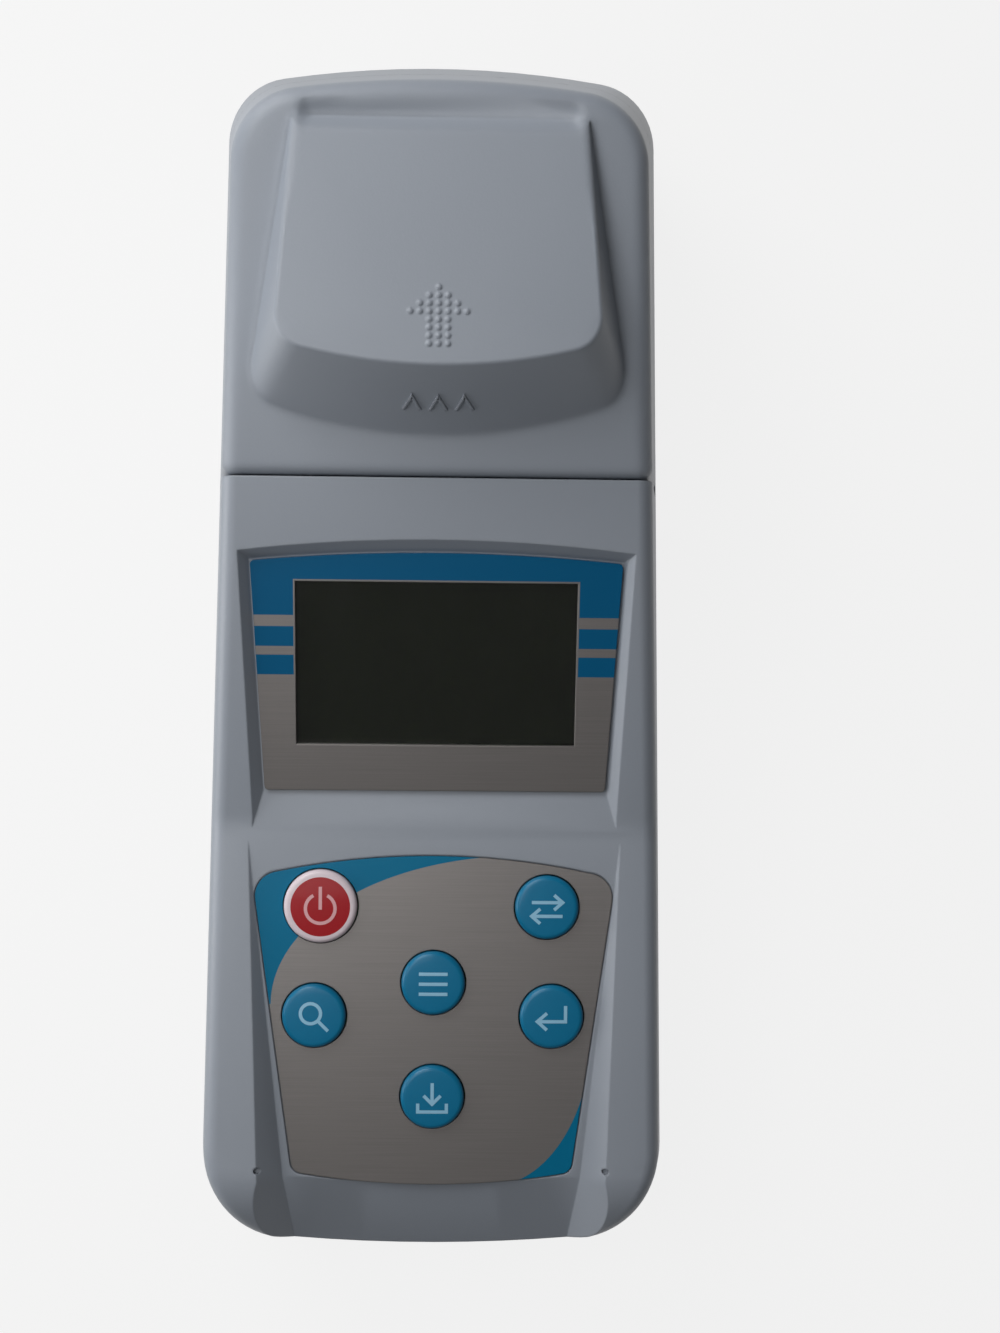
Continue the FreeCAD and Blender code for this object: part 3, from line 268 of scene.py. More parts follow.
def turned(profile, sides):
    """A profile of radius and height carried round Z: x = r cos t, y = r sin t, z = h."""
    angle = np.linspace(0.0, 2 * np.pi, sides, endpoint=False)
    radius, height = np.asarray(profile).T
    return np.stack([np.outer(np.cos(angle), radius), np.outer(np.sin(angle), radius),
                     np.broadcast_to(height, (sides, len(height)))], -1)


def stroke(path, width, height):
    """A line with a flat top: a rectangle as wide as the stroke carried along a path in the plane, square to
    it. Each side is path plus or minus half the width times the normal, scaled up where the path turns."""
    path = np.asarray(path, float)
    steps = np.diff(path, axis=0)
    before, after = np.vstack([steps[:1], steps]), np.vstack([steps, steps[-1:]])
    before /= np.linalg.norm(before, axis=1, keepdims=True)
    after /= np.linalg.norm(after, axis=1, keepdims=True)
    normal = before + after
    normal = np.stack([-normal[:, 1], normal[:, 0]], 1)
    normal /= np.linalg.norm(normal, axis=1, keepdims=True)
    turn = normal[:, 1] * before[:, 0] - normal[:, 0] * before[:, 1]
    mitre = width / 2 / np.clip(turn, SHARPEST_TURN, 1.0)
    left, right = path + normal * mitre[:, None], path - normal * mitre[:, None]
    low, high = np.zeros((len(path), 1)), np.full((len(path), 1), height)
    ring = np.stack([np.hstack([left, low]), np.hstack([left, high]), np.hstack([right, high]),
                     np.hstack([right, low])], 1)
    last = 4 * (len(path) - 1)
    ends = [[3, 2, 1, 0], [last, last + 1, last + 2, last + 3]]
    return ring.reshape(-1, 3), [*grid_faces(len(path), 4, closed_columns=True), *ends]


def divided(path, step):
    """A path with points added so that no run is longer than the step: each is its place along the path."""
    path = np.asarray(path, float)
    along = np.concatenate([[0.0], np.cumsum(np.linalg.norm(np.diff(path, axis=0), axis=1))])
    fine = np.unique(np.concatenate([along, np.arange(0.0, along[-1], step)]))
    return np.stack([np.interp(fine, along, path[:, axis]) for axis in (0, 1)], 1)


def merged(parts):
    """Several meshes as one: the points in a row and each mesh's faces moved up by the points before it."""
    points, faces, count = [], [], 0
    for part_points, part_faces in parts:
        points.append(part_points)
        faces += (np.asarray(face) + count for face in part_faces)
        count += len(part_points)
    return np.concatenate(points), faces


def arc(centre, radius, start, end, steps):
    """Points on a circle between two angles in degrees."""
    angle = np.radians(np.linspace(start, end, steps))
    return np.stack([centre[0] + radius * np.cos(angle), centre[1] + radius * np.sin(angle)], 1)


def smooth_copy(node_name, angle, material):
    """A copy of a CAD node with its loose triangles joined and its round faces shaded smooth."""
    source = frame["nodes"][node_name]
    mesh = source.data.copy()
    mesh.materials.clear()
    mesh.materials.append(material)
    work = bmesh.new()
    work.from_mesh(mesh)
    bmesh.ops.remove_doubles(work, verts=work.verts, dist=JOIN_DISTANCE)
    work.to_mesh(mesh)
    work.free()
    if "custom_normal" in mesh.attributes:
        mesh.attributes.remove(mesh.attributes["custom_normal"])
    mesh.polygons.foreach_set("use_smooth", np.ones(len(mesh.polygons), bool))
    mesh.set_sharp_from_angle(angle=math.radians(angle))
    obj = bpy.data.objects.new(node_name + "_finished", mesh)
    bpy.context.scene.collection.objects.link(obj)
    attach(obj, source["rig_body"] if "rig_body" in source else source.parent.name)
    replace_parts(obj, node_name)
    return obj


# Shaders.

def add(tree, kind, settings=None, inputs=None):
    """Adds one node with its settings; each input is a number, a colour or the socket that feeds it."""
    made = tree.nodes.new(kind)
    for key, value in (settings or {}).items():
        setattr(made, key, value)
    for key, value in (inputs or {}).items():
        if isinstance(value, bpy.types.NodeSocket):
            tree.links.new(value, made.inputs[key])
        elif isinstance(value, tuple) and made.inputs[key].type == "RGBA":
            made.inputs[key].default_value = (*value, 1.0)
        else:
            made.inputs[key].default_value = value
    return made


def started(name):
    """A new material with its empty tree and its Principled shader."""
    material = bpy.data.materials.new(name)
    material.use_nodes = True
    tree = material.node_tree
    return material, tree, tree.nodes["Principled BSDF"]


def place(tree, origin=(0.0, 0.0, 0.0), turn=(0.0, 0.0, 0.0), scale=(1.0, 1.0, 1.0)):
    """Object coordinates seen from a shifted and turned frame, each axis divided by its scale."""
    coordinates = add(tree, "ShaderNodeTexCoord").outputs["Object"]
    inputs = {"Vector": coordinates, "Location": origin, "Rotation": turn, "Scale": scale}
    return add(tree, "ShaderNodeMapping", {"vector_type": "TEXTURE"}, inputs).outputs["Vector"]


def grained(tree, shader, base, grain, depth, edge, tone=0.04):
    """Fine moulded grain: a bump of the grain's size over softened edges, with a slow drift of the tone. The
    edge radius is a number or the socket that gives it."""
    here = place(tree)
    speckle = add(tree, "ShaderNodeTexNoise", None, {"Vector": here, "Scale": 1.0 / grain, "Detail": 2.0})
    cloud = add(tree, "ShaderNodeTexNoise", None, {"Vector": here, "Scale": 18.0, "Detail": 3.0})
    low = tuple(value * (1.0 - tone) for value in base)
    high = tuple(min(1.0, value * (1.0 + tone)) for value in base)
    tint = add(tree, "ShaderNodeMix", {"data_type": "RGBA"}, {0: cloud.outputs["Fac"], 6: low, 7: high})
    soft = add(tree, "ShaderNodeBevel", {"samples": 4}, {"Radius": edge})
    bump = add(tree, "ShaderNodeBump", None,
               {"Strength": 0.5, "Distance": depth, "Height": speckle.outputs["Fac"],
                "Normal": soft.outputs["Normal"]})
    tree.links.new(tint.outputs[2], shader.inputs["Base Color"])
    tree.links.new(bump.outputs["Normal"], shader.inputs["Normal"])


def spark_eroded_abs(name, base, grain, edge, roughness=0.42, foot=None):
    """ABS moulded against a spark-eroded tool: an even satin sheen that breaks up highlights softly. Near the
    sloped deck the edges are as round as the foot's radius, up to the foot's height."""
    material, tree, shader = started(name)
    if foot:
        level = add(tree, "ShaderNodeSeparateXYZ", None,
                    {"Vector": place(tree, (0.0, *SCREEN_ORIGIN), (SLOPE, 0.0, 0.0))}).outputs["Z"]
        edge = add(tree, "ShaderNodeMapRange", None,
                   {"Value": level, "From Min": foot[1], "From Max": foot[1] * 1.5, "To Min": foot[0],
                    "To Max": edge}).outputs["Result"]
    grained(tree, shader, base, grain, GRAIN_DEPTH, edge)
    shader.inputs["Roughness"].default_value = roughness
    shader.inputs["IOR"].default_value = 1.53
    return material


def moulded_rubber(name, base):
    """Moulded nitrile rubber: nearly no gloss, with a dusty grain."""
    material, tree, shader = started(name)
    grained(tree, shader, base, 0.0006, 0.00005, 0.0002, tone=0.2)
    shader.inputs["Roughness"].default_value = 0.85
    return material


def brushed(tree, shader, base, brush, turn, ink=None, mask=None):
    """Aluminium sheet brushed across: streaks a few tenths wide and centimetres long tint it and bend its
    gloss. Screen ink, where the mask is 1, hides the metal under a smooth coloured film."""
    along = place(tree, turn=turn, scale=(STREAK_RATIO * brush, brush, brush))
    streak = add(tree, "ShaderNodeTexNoise", None, {"Vector": along, "Scale": 1.0, "Detail": 3.0})
    low = tuple(value * 0.86 for value in base)
    high = tuple(min(1.0, value * 1.12) for value in base)
    bare = add(tree, "ShaderNodeMix", {"data_type": "RGBA"}, {0: streak.outputs["Fac"], 6: low, 7: high})
    if ink:
        film = add(tree, "ShaderNodeMix", {"data_type": "RGBA"}, {0: mask, 6: bare.outputs[2], 7: ink})
        metal = add(tree, "ShaderNodeMapRange", None, {"Value": mask, "To Min": 0.85, "To Max": 0.0})
        gloss = add(tree, "ShaderNodeMapRange", None, {"Value": mask, "To Min": 0.42, "To Max": 0.3})
        tree.links.new(film.outputs[2], shader.inputs["Base Color"])
        tree.links.new(metal.outputs["Result"], shader.inputs["Metallic"])
        tree.links.new(gloss.outputs["Result"], shader.inputs["Roughness"])
        shader.inputs["Specular IOR Level"].default_value = 0.15
    else:
        tree.links.new(bare.outputs[2], shader.inputs["Base Color"])
        shader.inputs["Metallic"].default_value = 0.85
        shader.inputs["Roughness"].default_value = 0.4
    worn = add(tree, "ShaderNodeBevel", {"samples": 4}, {"Radius": CUT_EDGE})
    bump = add(tree, "ShaderNodeBump", None,
               {"Strength": 0.25, "Distance": FINE_DEPTH, "Height": streak.outputs["Fac"],
                "Normal": worn.outputs["Normal"]})
    tree.links.new(bump.outputs["Normal"], shader.inputs["Normal"])


def printed_display_aluminium(look):
    """Brushed aluminium plate with a blue field at its top and two blue stripes on each side. The ink stops
    short of the window, so a fine line of bare metal shows round it."""
    material, tree, shader = started("printed brushed aluminium, display")
    here = place(tree, (0.0, *SCREEN_ORIGIN), (SLOPE, 0.0, 0.0))
    along = add(tree, "ShaderNodeSeparateXYZ", None, {"Vector": here}).outputs["Y"]
    share = add(tree, "ShaderNodeMath", {"operation": "DIVIDE"}, {0: along, 1: PLATE_SPAN})
    ramp = add(tree, "ShaderNodeValToRGB", None, {"Fac": share.outputs[0]})
    ramp.color_ramp.interpolation = "CONSTANT"
    stops = [(0.0, 0), (look.second_low, 1), (look.second_high, 0), (look.first_low, 1), (look.first_high, 0),
             (look.band_low, 1)]
    marks = ramp.color_ramp.elements
    while len(marks) < len(stops):
        marks.new(1.0)
    for mark, (height, value) in zip(marks, stops):
        mark.position = height / PLATE_SPAN
        mark.color = (value, value, value, 1.0)
    middle = (0.0, SCREEN_ORIGIN[0] + look.window_middle * math.cos(SLOPE),
              SCREEN_ORIGIN[1] + look.window_middle * math.sin(SLOPE))
    reach = (look.window_width / 2 + look.bare_edge, look.window_height / 2 + look.bare_edge, 1.0)
    away = add(tree, "ShaderNodeVectorMath", {"operation": "ABSOLUTE"},
               {0: place(tree, middle, (SLOPE, 0.0, 0.0), reach)})
    axes = add(tree, "ShaderNodeSeparateXYZ", None, {"Vector": away.outputs[0]})
    most = add(tree, "ShaderNodeMath", {"operation": "MAXIMUM"}, {0: axes.outputs["X"], 1: axes.outputs["Y"]})
    outside = add(tree, "ShaderNodeMath", {"operation": "GREATER_THAN"}, {0: most.outputs[0], 1: 1.0})
    inked = add(tree, "ShaderNodeMath", {"operation": "MULTIPLY"},
                {0: outside.outputs[0], 1: ramp.outputs["Color"]})
    brushed(tree, shader, tuple(look.metal), look.brush, (SLOPE, 0.0, 0.0), tuple(look.ink), inked.outputs[0])
    return material


def printed_keypad_aluminium(look):
    """Brushed aluminium label with blue in two opposite corners, each bounded by a quarter of an ellipse."""
    material, tree, shader = started("printed brushed aluminium, keypad")
    cosine, sine = math.cos(DISH), math.sin(DISH)
    shares = []
    for centre, radii, side in LABEL_CORNERS:
        origin = (centre[0], KEYPAD_ORIGIN[0] + centre[1] * cosine, KEYPAD_ORIGIN[1] + centre[1] * sine)
        here = place(tree, origin, (DISH, 0.0, 0.0), (radii[0] * side[0], radii[1] * side[1], 1.0))
        level = add(tree, "ShaderNodeVectorMath", {"operation": "MULTIPLY"}, {0: here, 1: (1.0, 1.0, 0.0)})
        reach = add(tree, "ShaderNodeVectorMath", {"operation": "LENGTH"}, {0: level.outputs[0]})
        beyond = add(tree, "ShaderNodeMath", {"operation": "GREATER_THAN"},
                     {0: reach.outputs["Value"], 1: 1.0})
        axes = add(tree, "ShaderNodeSeparateXYZ", None, {"Vector": here})
        least = add(tree, "ShaderNodeMath", {"operation": "MINIMUM"},
                    {0: axes.outputs["X"], 1: axes.outputs["Y"]})
        quarter = add(tree, "ShaderNodeMath", {"operation": "GREATER_THAN"}, {0: least.outputs[0], 1: 0.0})
        shares.append(add(tree, "ShaderNodeMath", {"operation": "MULTIPLY"},
                          {0: beyond.outputs[0], 1: quarter.outputs[0]}).outputs[0])
    both = add(tree, "ShaderNodeMath", {"operation": "MAXIMUM"}, {0: shares[0], 1: shares[1]})
    brushed(tree, shader, tuple(look.metal), look.brush, (DISH, 0.0, 0.0), tuple(look.label_ink),
            both.outputs[0])
    return material


def glossy_film(name, base, coat=0.12):
    """Printed and embossed polyester film: a soft gloss over a flat colour, with faint orange peel."""
    material, tree, shader = started(name)
    peel = add(tree, "ShaderNodeTexNoise", None, {"Vector": place(tree), "Scale": 900.0, "Detail": 2.0})
    low = tuple(value * 0.93 for value in base)
    tint = add(tree, "ShaderNodeMix", {"data_type": "RGBA"}, {0: peel.outputs["Fac"], 6: low, 7: tuple(base)})
    bump = add(tree, "ShaderNodeBump", None,
               {"Strength": 0.15, "Distance": FINE_DEPTH, "Height": peel.outputs["Fac"]})
    tree.links.new(tint.outputs[2], shader.inputs["Base Color"])
    tree.links.new(bump.outputs["Normal"], shader.inputs["Normal"])
    shader.inputs["Roughness"].default_value = 0.35
    shader.inputs["Specular IOR Level"].default_value = 0.3
    shader.inputs["Coat Weight"].default_value = coat
    shader.inputs["Coat Roughness"].default_value = 0.08
    return material


def clear(tree, shader, where, scale, haze, index):
    """A see-through solid whose gloss drifts between two values of haze."""
    marks = add(tree, "ShaderNodeTexNoise", None, {"Vector": where, "Scale": scale})
    drift = add(tree, "ShaderNodeMapRange", None,
                {"Value": marks.outputs["Fac"], "To Min": haze[0], "To Max": haze[1]})
    tree.links.new(drift.outputs["Result"], shader.inputs["Roughness"])
    shader.inputs["Transmission Weight"].default_value = 1.0
    shader.inputs["IOR"].default_value = index


def cast_acrylic(name):
    """Clear cast acrylic: see-through, with the soft haze of fine wipe marks."""
    material, tree, shader = started(name)
    clear(tree, shader, place(tree, scale=(1.0, 8.0, 8.0)), 300.0, (0.03, 0.12), 1.49)
    shader.inputs["Base Color"].default_value = (*linear("#E9EEE6"), 1.0)
    return material


def liquid_crystal(name):
    """An unlit reflective liquid-crystal screen: green-black, with a pixel grid that just shows."""
    material, tree, shader = started(name)
    grid = add(tree, "ShaderNodeTexBrick", {"offset": 0.0},
               {"Vector": place(tree, (0.0, *SCREEN_ORIGIN), (SLOPE, 0.0, 0.0), (PIXEL_PITCH,) * 3),
                "Color1": linear("#1D2016"), "Color2": linear("#202418"), "Mortar": linear("#171A11"),
                "Scale": 1.0, "Mortar Size": 0.08, "Brick Width": 1.0, "Row Height": 1.0})
    tree.links.new(grid.outputs["Color"], shader.inputs["Base Color"])
    shader.inputs["Roughness"].default_value = 0.25
    shader.inputs["Specular IOR Level"].default_value = 0.1
    return material


def plated_steel(name):
    """Nickel-plated steel: a warm bright metal with fine drawing marks."""
    material, tree, shader = started(name)
    brushed(tree, shader, linear("#B9B4AA"), 0.0002, (0.0, 0.0, 0.0))
    shader.inputs["Metallic"].default_value = 1.0
    return material


def masked_laminate(name):
    """Glass-epoxy board under green solder mask: glossy, with darker tracks where the copper lies."""
    material, tree, shader = started(name)
    tracks = add(tree, "ShaderNodeTexBrick", {"offset": 0.35},
                 {"Vector": place(tree, scale=(0.004, 0.0015, 1.0)), "Color1": linear("#0D5A2E"),
                  "Color2": linear("#0A4A25"), "Mortar": linear("#12703A"), "Scale": 1.0,
                  "Mortar Size": 0.12})
    tree.links.new(tracks.outputs["Color"], shader.inputs["Base Color"])
    shader.inputs["Roughness"].default_value = 0.3
    return material


def shrink_sleeve(name):
    """Printed shrink sleeve on a cell: glossy, dark, with a lighter band at one end."""
    material, tree, shader = started(name)
    along = add(tree, "ShaderNodeSeparateXYZ", None, {"Vector": place(tree)}).outputs["Y"]
    band = add(tree, "ShaderNodeMath", {"operation": "GREATER_THAN"}, {0: along, 1: BAND_PLACE})
    tint = add(tree, "ShaderNodeMix", {"data_type": "RGBA"},
               {0: band.outputs[0], 6: linear("#24262B"), 7: linear("#B98A3A")})
    tree.links.new(tint.outputs[2], shader.inputs["Base Color"])
    shader.inputs["Roughness"].default_value = 0.25
    return material


def polished_glass(name):
    """Ground and polished optical glass: see-through, with a trace of dust in its gloss."""
    material, tree, shader = started(name)
    clear(tree, shader, place(tree), 2500.0, (0.0, 0.04), 1.52)
    return material


# Operators, one for each piece or group of like pieces.

class METER_OT_case(bpy.types.Operator):
    """Finish the three grey mouldings, the battery door and the black sample holder"""

    bl_idname = "meter.case"
    bl_label = "Case mouldings"

    def execute(self, context):
        look = context.scene.meter_case
        grey = spark_eroded_abs("ABS, spark-eroded, grey-blue", tuple(look.shell), look.grain,
                                look.edge_round)
        black = spark_eroded_abs("ABS, moulded, black", tuple(look.inside), look.grain, look.edge_round,
                                 roughness=0.5)
        cover = spark_eroded_abs("ABS, spark-eroded, grey-blue, cover", tuple(look.shell), look.grain,
                                 look.edge_round, foot=(look.foot_round, look.foot_height))
        for name in ("base_shell", "upper_case", "battery_door"):
            smooth_copy(name, MOULDED_ANGLE, grey)
        smooth_copy("slide_cover", MOULDED_ANGLE, cover)
        smooth_copy("sample_holder", MOULDED_ANGLE, black)
        return {"FINISHED"}


class METER_OT_relief(bpy.types.Operator):
    """Raise a row of chevrons on the cover's ramp, where a thumb pushes"""

    bl_idname = "meter.relief"
    bl_label = "Raised marks on the cover"

    def execute(self, context):
        look = context.scene.meter_relief
        half = (look.chevron_width / 2, look.chevron_rise / 2)
        chevron = np.array([(-1.0, -1.0), (0.0, 1.0), (1.0, -1.0)]) * half
        strokes = []
        for across in (-1, 0, 1):
            path = divided(chevron, look.chevron_stroke)
            points, faces = stroke(path, look.chevron_stroke, look.chevron_height)
            strokes.append((points + (across * look.chevron_pitch, 0.0, 0.0), faces))
        points, faces = merged(strokes)
        piece("cover_chevrons", self.on_ramp(points, look), faces, "cover",
              bpy.data.materials["ABS, spark-eroded, grey-blue"], smooth=False)
        return {"FINISHED"}

    def on_ramp(self, points, look):
        """Lays flat points on the ramp, a cone round an upright axis: across becomes the angle about the
        axis, up becomes the climb along the cone, and height the distance along its normal."""
        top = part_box("slide_cover")[1].z - look.dot_rise
        across, climb, height = points.T
        steep = math.atan(look.ramp_lean)
        level = look.chevron_level + climb * math.cos(steep)
        radius = look.ramp_radius + (top - level) * look.ramp_lean + height * math.cos(steep)
        level = level + height * math.sin(steep)
        angle = across / look.ramp_radius
        middle = look.ramp_front + look.ramp_radius
        return np.stack([radius * np.sin(angle), middle - radius * np.cos(angle), level], 1)


class METER_OT_display(bpy.types.Operator):
    """Finish the two printed plates, the window and the screen"""

    bl_idname = "meter.display"
    bl_label = "Display"

    def execute(self, context):
        look = context.scene.meter_print
        smooth_copy("display_panel", SHEET_ANGLE, printed_display_aluminium(look))
        smooth_copy("keypad_label", SHEET_ANGLE, printed_keypad_aluminium(look))
        dressed("screen_window", cast_acrylic("Acrylic, cast, clear"))
        dressed("screen_glass", liquid_crystal("Liquid crystal, unlit"))
        return {"FINISHED"}


def dressed(node_name, material):
    """Gives a CAD node its material and leaves its mesh alone."""
    slots = frame["nodes"][node_name].data.materials
    slots.clear()
    slots.append(material)


def key_symbols():
    """The pictograms on the keys, in metres about each key's centre: power, swap, menu, search, enter and
    save."""
    def mm(*points):
        return np.array(points) * MM

    return {
        "power_key": [arc((0.0, -0.32 * MM), 2.78 * MM, 118.0, 422.0, 33), mm((0, 3.8), (0, -0.5))],
        "switch_key": [mm((-2.9, 1.1), (2.7, 1.1)), mm((1.3, 2.5), (2.9, 1.1), (1.3, -0.3)),
                       mm((2.9, -1.5), (-2.7, -1.5)), mm((-1.3, -2.9), (-2.9, -1.5), (-1.3, -0.1))],
        "menu_key": [mm((-2.7, height), (2.7, height)) for height in (1.9, 0.0, -1.9)],
        "query_key": [arc((-0.6 * MM, 0.6 * MM), 1.9 * MM, -45.0, 315.0, 30), mm((0.75, -0.75), (2.7, -2.7))],
        "enter_key": [mm((2.6, 2.3), (2.6, -0.7), (-2.5, -0.7)), mm((-0.9, 0.9), (-2.7, -0.7), (-0.9, -2.3))],
        "store_key": [mm((0, 2.9), (0, -0.9)), mm((-1.6, 0.5), (0, -1.1), (1.6, 0.5)),
                      mm((-2.7, -1.0), (-2.7, -2.6), (2.7, -2.6), (2.7, -1.0))],
    }


class METER_OT_keys(bpy.types.Operator):
    """Shape the six domed keys with their symbols"""

    bl_idname = "meter.keys"
    bl_label = "Keys"

    def execute(self, context):
        look = context.scene.meter_keys
        blue = glossy_film("Polyester film, embossed, blue", tuple(look.face))
        red = glossy_film("Polyester film, embossed, red", tuple(look.power))
        pale = glossy_film("Polyester film, embossed, pale rim", tuple(look.power_rim))
        symbol = glossy_film("Screen ink, pale blue", tuple(look.legend), coat=0.0)
        power_symbol = glossy_film("Screen ink, pale pink", tuple(look.power_legend), coat=0.0)
        symbols = key_symbols()
        for name, centre in KEYS.items():
            is_power = name == "power_key"
            radius = look.power_radius if is_power else look.radius
            face_radius = look.power_face if is_power else radius - look.shoulder
            rim, face = (pale, red) if is_power else (blue, blue)
            self.cap(name, centre, radius, face_radius, look, rim, face)
            strokes = [stroke(divided(path, look.stroke), look.stroke, look.ink) for path in symbols[name]]
            points, faces = merged(strokes)
            share = np.sum(points[:, :2] ** 2, 1) / (radius - look.shoulder) ** 2
            points[:, 2] += look.rise + look.crown * (1 - share)
            points = points + (centre[0] * MM, centre[1] * MM, 0.0)
            piece(name.replace("_key", "_symbol"), onto(points, KEYPAD_ORIGIN, DISH), faces, name,
                  power_symbol if is_power else symbol, smooth=False)
        return {"FINISHED"}

    def cap(self, name, centre, radius, face_radius, look, rim, face):
        """A key turned from a profile: an upright skirt, a shoulder on a quarter of an ellipse, and a face
        that falls by the crown times the square of its distance from the centre. The rim's material ends at
        the face's radius."""
        turn = np.linspace(0.0, np.pi / 2, 9)
        inner = radius - look.shoulder
        shoulder = np.stack([inner + look.shoulder * np.cos(turn),
                             look.rise - look.shoulder + look.shoulder * np.sin(turn)], 1)
        share = np.unique([*np.linspace(0.0, 1.0, 8), face_radius / inner])[-2::-1]
        crown = np.stack([inner * share + POLE, look.rise + look.crown * (1 - share ** 2)], 1)
        profile = np.vstack([[POLE, KEY_LOW], [radius, KEY_LOW], [radius, 0.0], shoulder, crown])
        points = turned(profile, KEY_SIDES) + (centre[0] * MM, centre[1] * MM, 0.0)
        faces = grid_faces(KEY_SIDES, len(profile), closed_rows=True)
        obj = piece(name + "_cap", onto(points, KEYPAD_ORIGIN, DISH), faces, name,
                    rim)
        obj.data.materials.append(face)
        outer, height = profile[:-1].T
        is_face = np.tile((outer < face_radius * 1.001) & (height > 0.0), KEY_SIDES)
        obj.data.polygons.foreach_set("material_index", is_face.astype(np.int32))
        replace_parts(obj, name)


class METER_OT_inside(bpy.types.Operator):
    """Give the feet, fixings, optics, boards and cells their finishes"""

    bl_idname = "meter.inside"
    bl_label = "Fixings and inner pieces"

    def execute(self, context):
        look = context.scene.meter_case
        finishes = {
            "plated_steel": plated_steel("Steel, nickel plated"),
            "circuit_board": masked_laminate("Glass-epoxy laminate, green solder mask"),
            "foot_rubber": moulded_rubber("Nitrile rubber, moulded", linear("#1A1A1B")),
            "cell_jacket": shrink_sleeve("Shrink sleeve, printed"),
            "lens_glass": polished_glass("Optical glass, polished"),
            "black_plastic": spark_eroded_abs("Nylon, moulded, black", tuple(look.inside), look.grain, 0.0002,
                                              roughness=0.55),
        }
        shaped = {name for obj in bpy.data.objects for name in obj.get("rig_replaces", [])}
        for part in frame["record"]["subparts"]:
            if part["node"] not in shaped and part["material_slot"] in finishes:
                dressed(part["node"], finishes[part["material_slot"]])
        return {"FINISHED"}


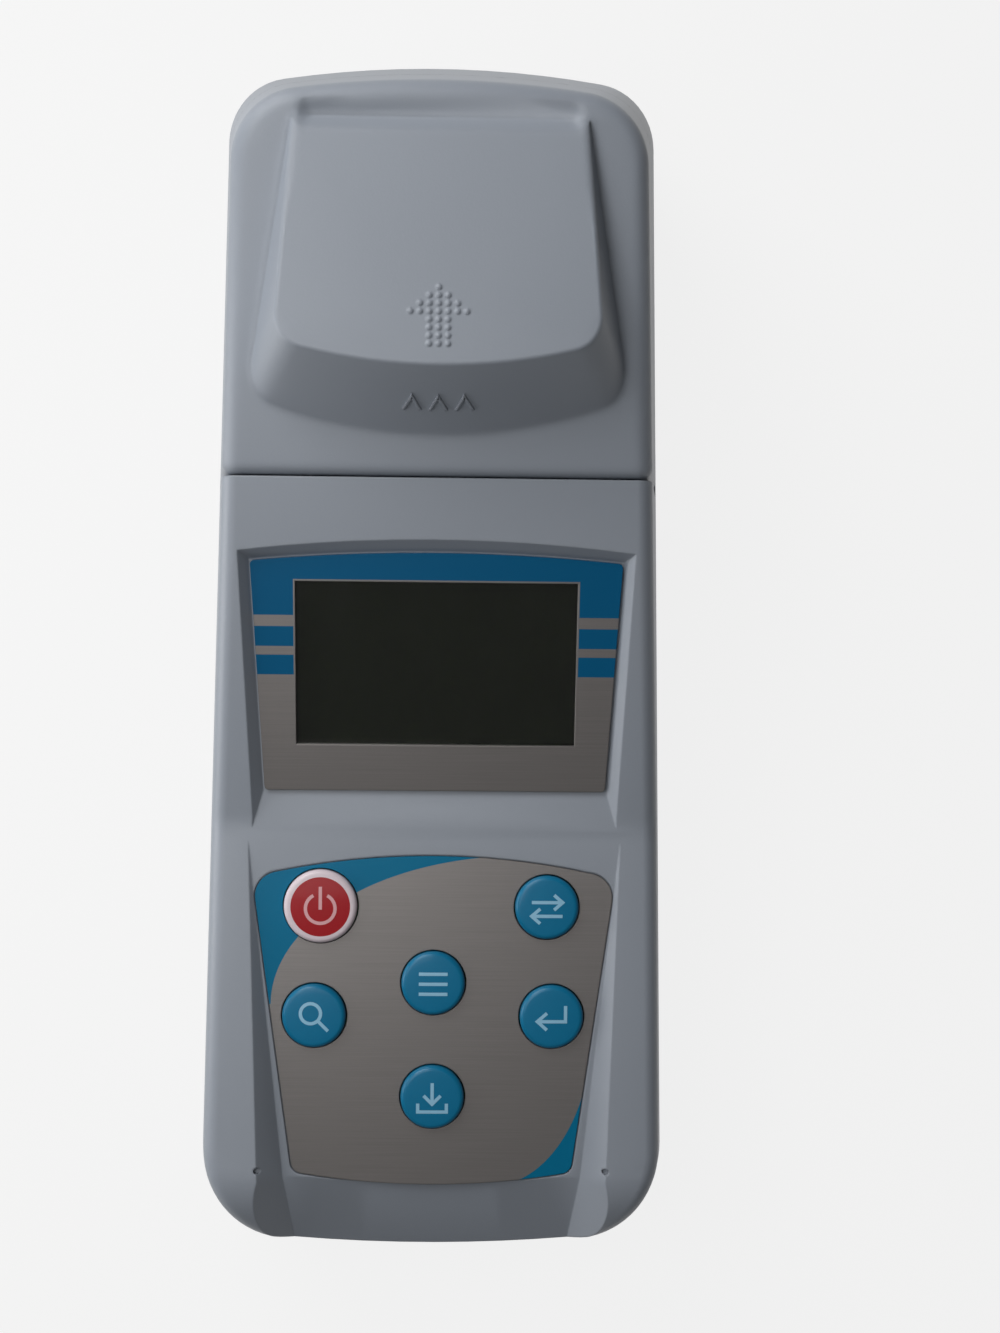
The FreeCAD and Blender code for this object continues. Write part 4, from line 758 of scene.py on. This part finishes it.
class METER_OT_stage(bpy.types.Operator):
    """Set the floor, the lamps and the camera at the photograph's viewing angle"""

    bl_idname = "meter.stage"
    bl_label = "Stage"

    def execute(self, context):
        look = context.scene.meter_stage
        scene = context.scene
        scene.view_settings.view_transform = "Standard"
        self.floor(look)
        self.lamps(look)
        camera = bpy.data.objects.new("camera", bpy.data.cameras.new("camera"))
        scene.collection.objects.link(camera)
        camera.data.sensor_fit = "HORIZONTAL"
        camera.data.sensor_width = 36.0
        camera.data.lens = FOCAL_PIXELS * camera.data.sensor_width / WIDTH_PIXELS
        camera.data.clip_start = 0.01
        stance = Matrix.Translation(CAMERA_PLACE)
        for axis, angle in zip("XYZ", CAMERA_TURNS):
            stance = stance @ Matrix.Rotation(math.radians(angle), 4, axis)
        camera.matrix_world = stance
        scene.camera = camera
        return {"FINISHED"}

    def floor(self, look):
        """A pale floor that shows white to the camera and still takes the object's shadow."""
        half = look.floor_size / 2
        corners = np.array([(-half, -half, 0.0), (half, -half, 0.0), (half, half, 0.0), (-half, half, 0.0)])
        mesh = bpy.data.meshes.new("floor")
        mesh.from_pydata((corners - (0.0, 0.0, FLOOR_GAP)).tolist(), [], [[0, 1, 2, 3]])
        floor = bpy.data.objects.new("floor", mesh)
        bpy.context.scene.collection.objects.link(floor)
        material, tree, shader = started("Paper backdrop, white")
        shader.inputs["Base Color"].default_value = (*look.paper, 1.0)
        shader.inputs["Roughness"].default_value = 0.9
        rays = add(tree, "ShaderNodeLightPath").outputs
        seen = add(tree, "ShaderNodeMath", {"operation": "MAXIMUM"},
                   {0: rays["Is Camera Ray"], 1: rays["Is Glossy Ray"]})
        seen = add(tree, "ShaderNodeMath", {"operation": "MAXIMUM"},
                   {0: seen.outputs[0], 1: rays["Is Transmission Ray"]})
        share = add(tree, "ShaderNodeMath", {"operation": "MULTIPLY"}, {0: seen.outputs[0], 1: WHITE_SHARE})
        white = add(tree, "ShaderNodeEmission", None, {"Color": tuple(look.background), "Strength": 1.0})
        mix = add(tree, "ShaderNodeMixShader", None,
                  {0: share.outputs[0], 1: shader.outputs[0], 2: white.outputs[0]})
        tree.links.new(mix.outputs[0], tree.nodes["Material Output"].inputs["Surface"])
        mesh.materials.append(material)

    def lamps(self, look):
        """Three soft lamps, all on the left: beyond the head, overhead, and low beside the object. A faint
        even light comes from the room."""
        for name, side, where in LAMPS:
            lamp = bpy.data.objects.new(name, bpy.data.lights.new(name, "AREA"))
            bpy.context.scene.collection.objects.link(lamp)
            lamp.data.energy = getattr(look, name + "_power")
            lamp.data.size = side
            lamp.location = where
            lamp.rotation_euler = (-lamp.location).to_track_quat("-Z", "Y").to_euler()
        world = bpy.data.worlds.new("room")
        world.use_nodes = True
        bpy.context.scene.world = world
        tree = world.node_tree
        ground = tree.nodes["Background"]
        ground.inputs["Color"].default_value = (1.0, 1.0, 1.0, 1.0)
        rays = add(tree, "ShaderNodeLightPath").outputs
        room = add(tree, "ShaderNodeMix", None, {0: rays["Is Glossy Ray"], 2: look.ambient, 3: look.mirrored})
        strength = add(tree, "ShaderNodeMix", None, {0: rays["Is Camera Ray"], 2: room.outputs[0], 3: 1.0})
        tree.links.new(strength.outputs[0], ground.inputs["Strength"])


GROUPS = {"meter_case": CaseFinish, "meter_print": PrintFinish, "meter_keys": KeyFinish,
          "meter_relief": Relief, "meter_stage": StageLook}
OPERATORS = (METER_OT_case, METER_OT_relief, METER_OT_display, METER_OT_keys, METER_OT_inside, METER_OT_stage)


class METER_PT_panel(bpy.types.Panel):
    """Lists the meter's sizes and colours, with a button for each step"""

    bl_idname = "METER_PT_panel"
    bl_label = "Turbidity meter"
    bl_space_type = "VIEW_3D"
    bl_region_type = "UI"
    bl_category = "Meter"

    def draw(self, context):
        for operator in OPERATORS:
            self.layout.operator(operator.bl_idname)
        for name, group in GROUPS.items():
            box = self.layout.box()
            box.label(text=group.__doc__.rstrip("."))
            for setting in group.__annotations__:
                box.prop(getattr(context.scene, name), setting)


def register():
    for cls in (*GROUPS.values(), *OPERATORS, METER_PT_panel):
        bpy.utils.register_class(cls)
    for name, group in GROUPS.items():
        setattr(bpy.types.Scene, name, bpy.props.PointerProperty(type=group))


def unregister():
    for name in GROUPS:
        delattr(bpy.types.Scene, name)
    for cls in reversed((*GROUPS.values(), *OPERATORS, METER_PT_panel)):
        bpy.utils.unregister_class(cls)


def main():
    """Build the whole scene."""
    register()
    bpy.ops.meter.case()
    bpy.ops.meter.relief()
    bpy.ops.meter.display()
    bpy.ops.meter.keys()
    bpy.ops.meter.inside()
    bpy.ops.meter.stage()


if __name__ == "__main__":
    main()
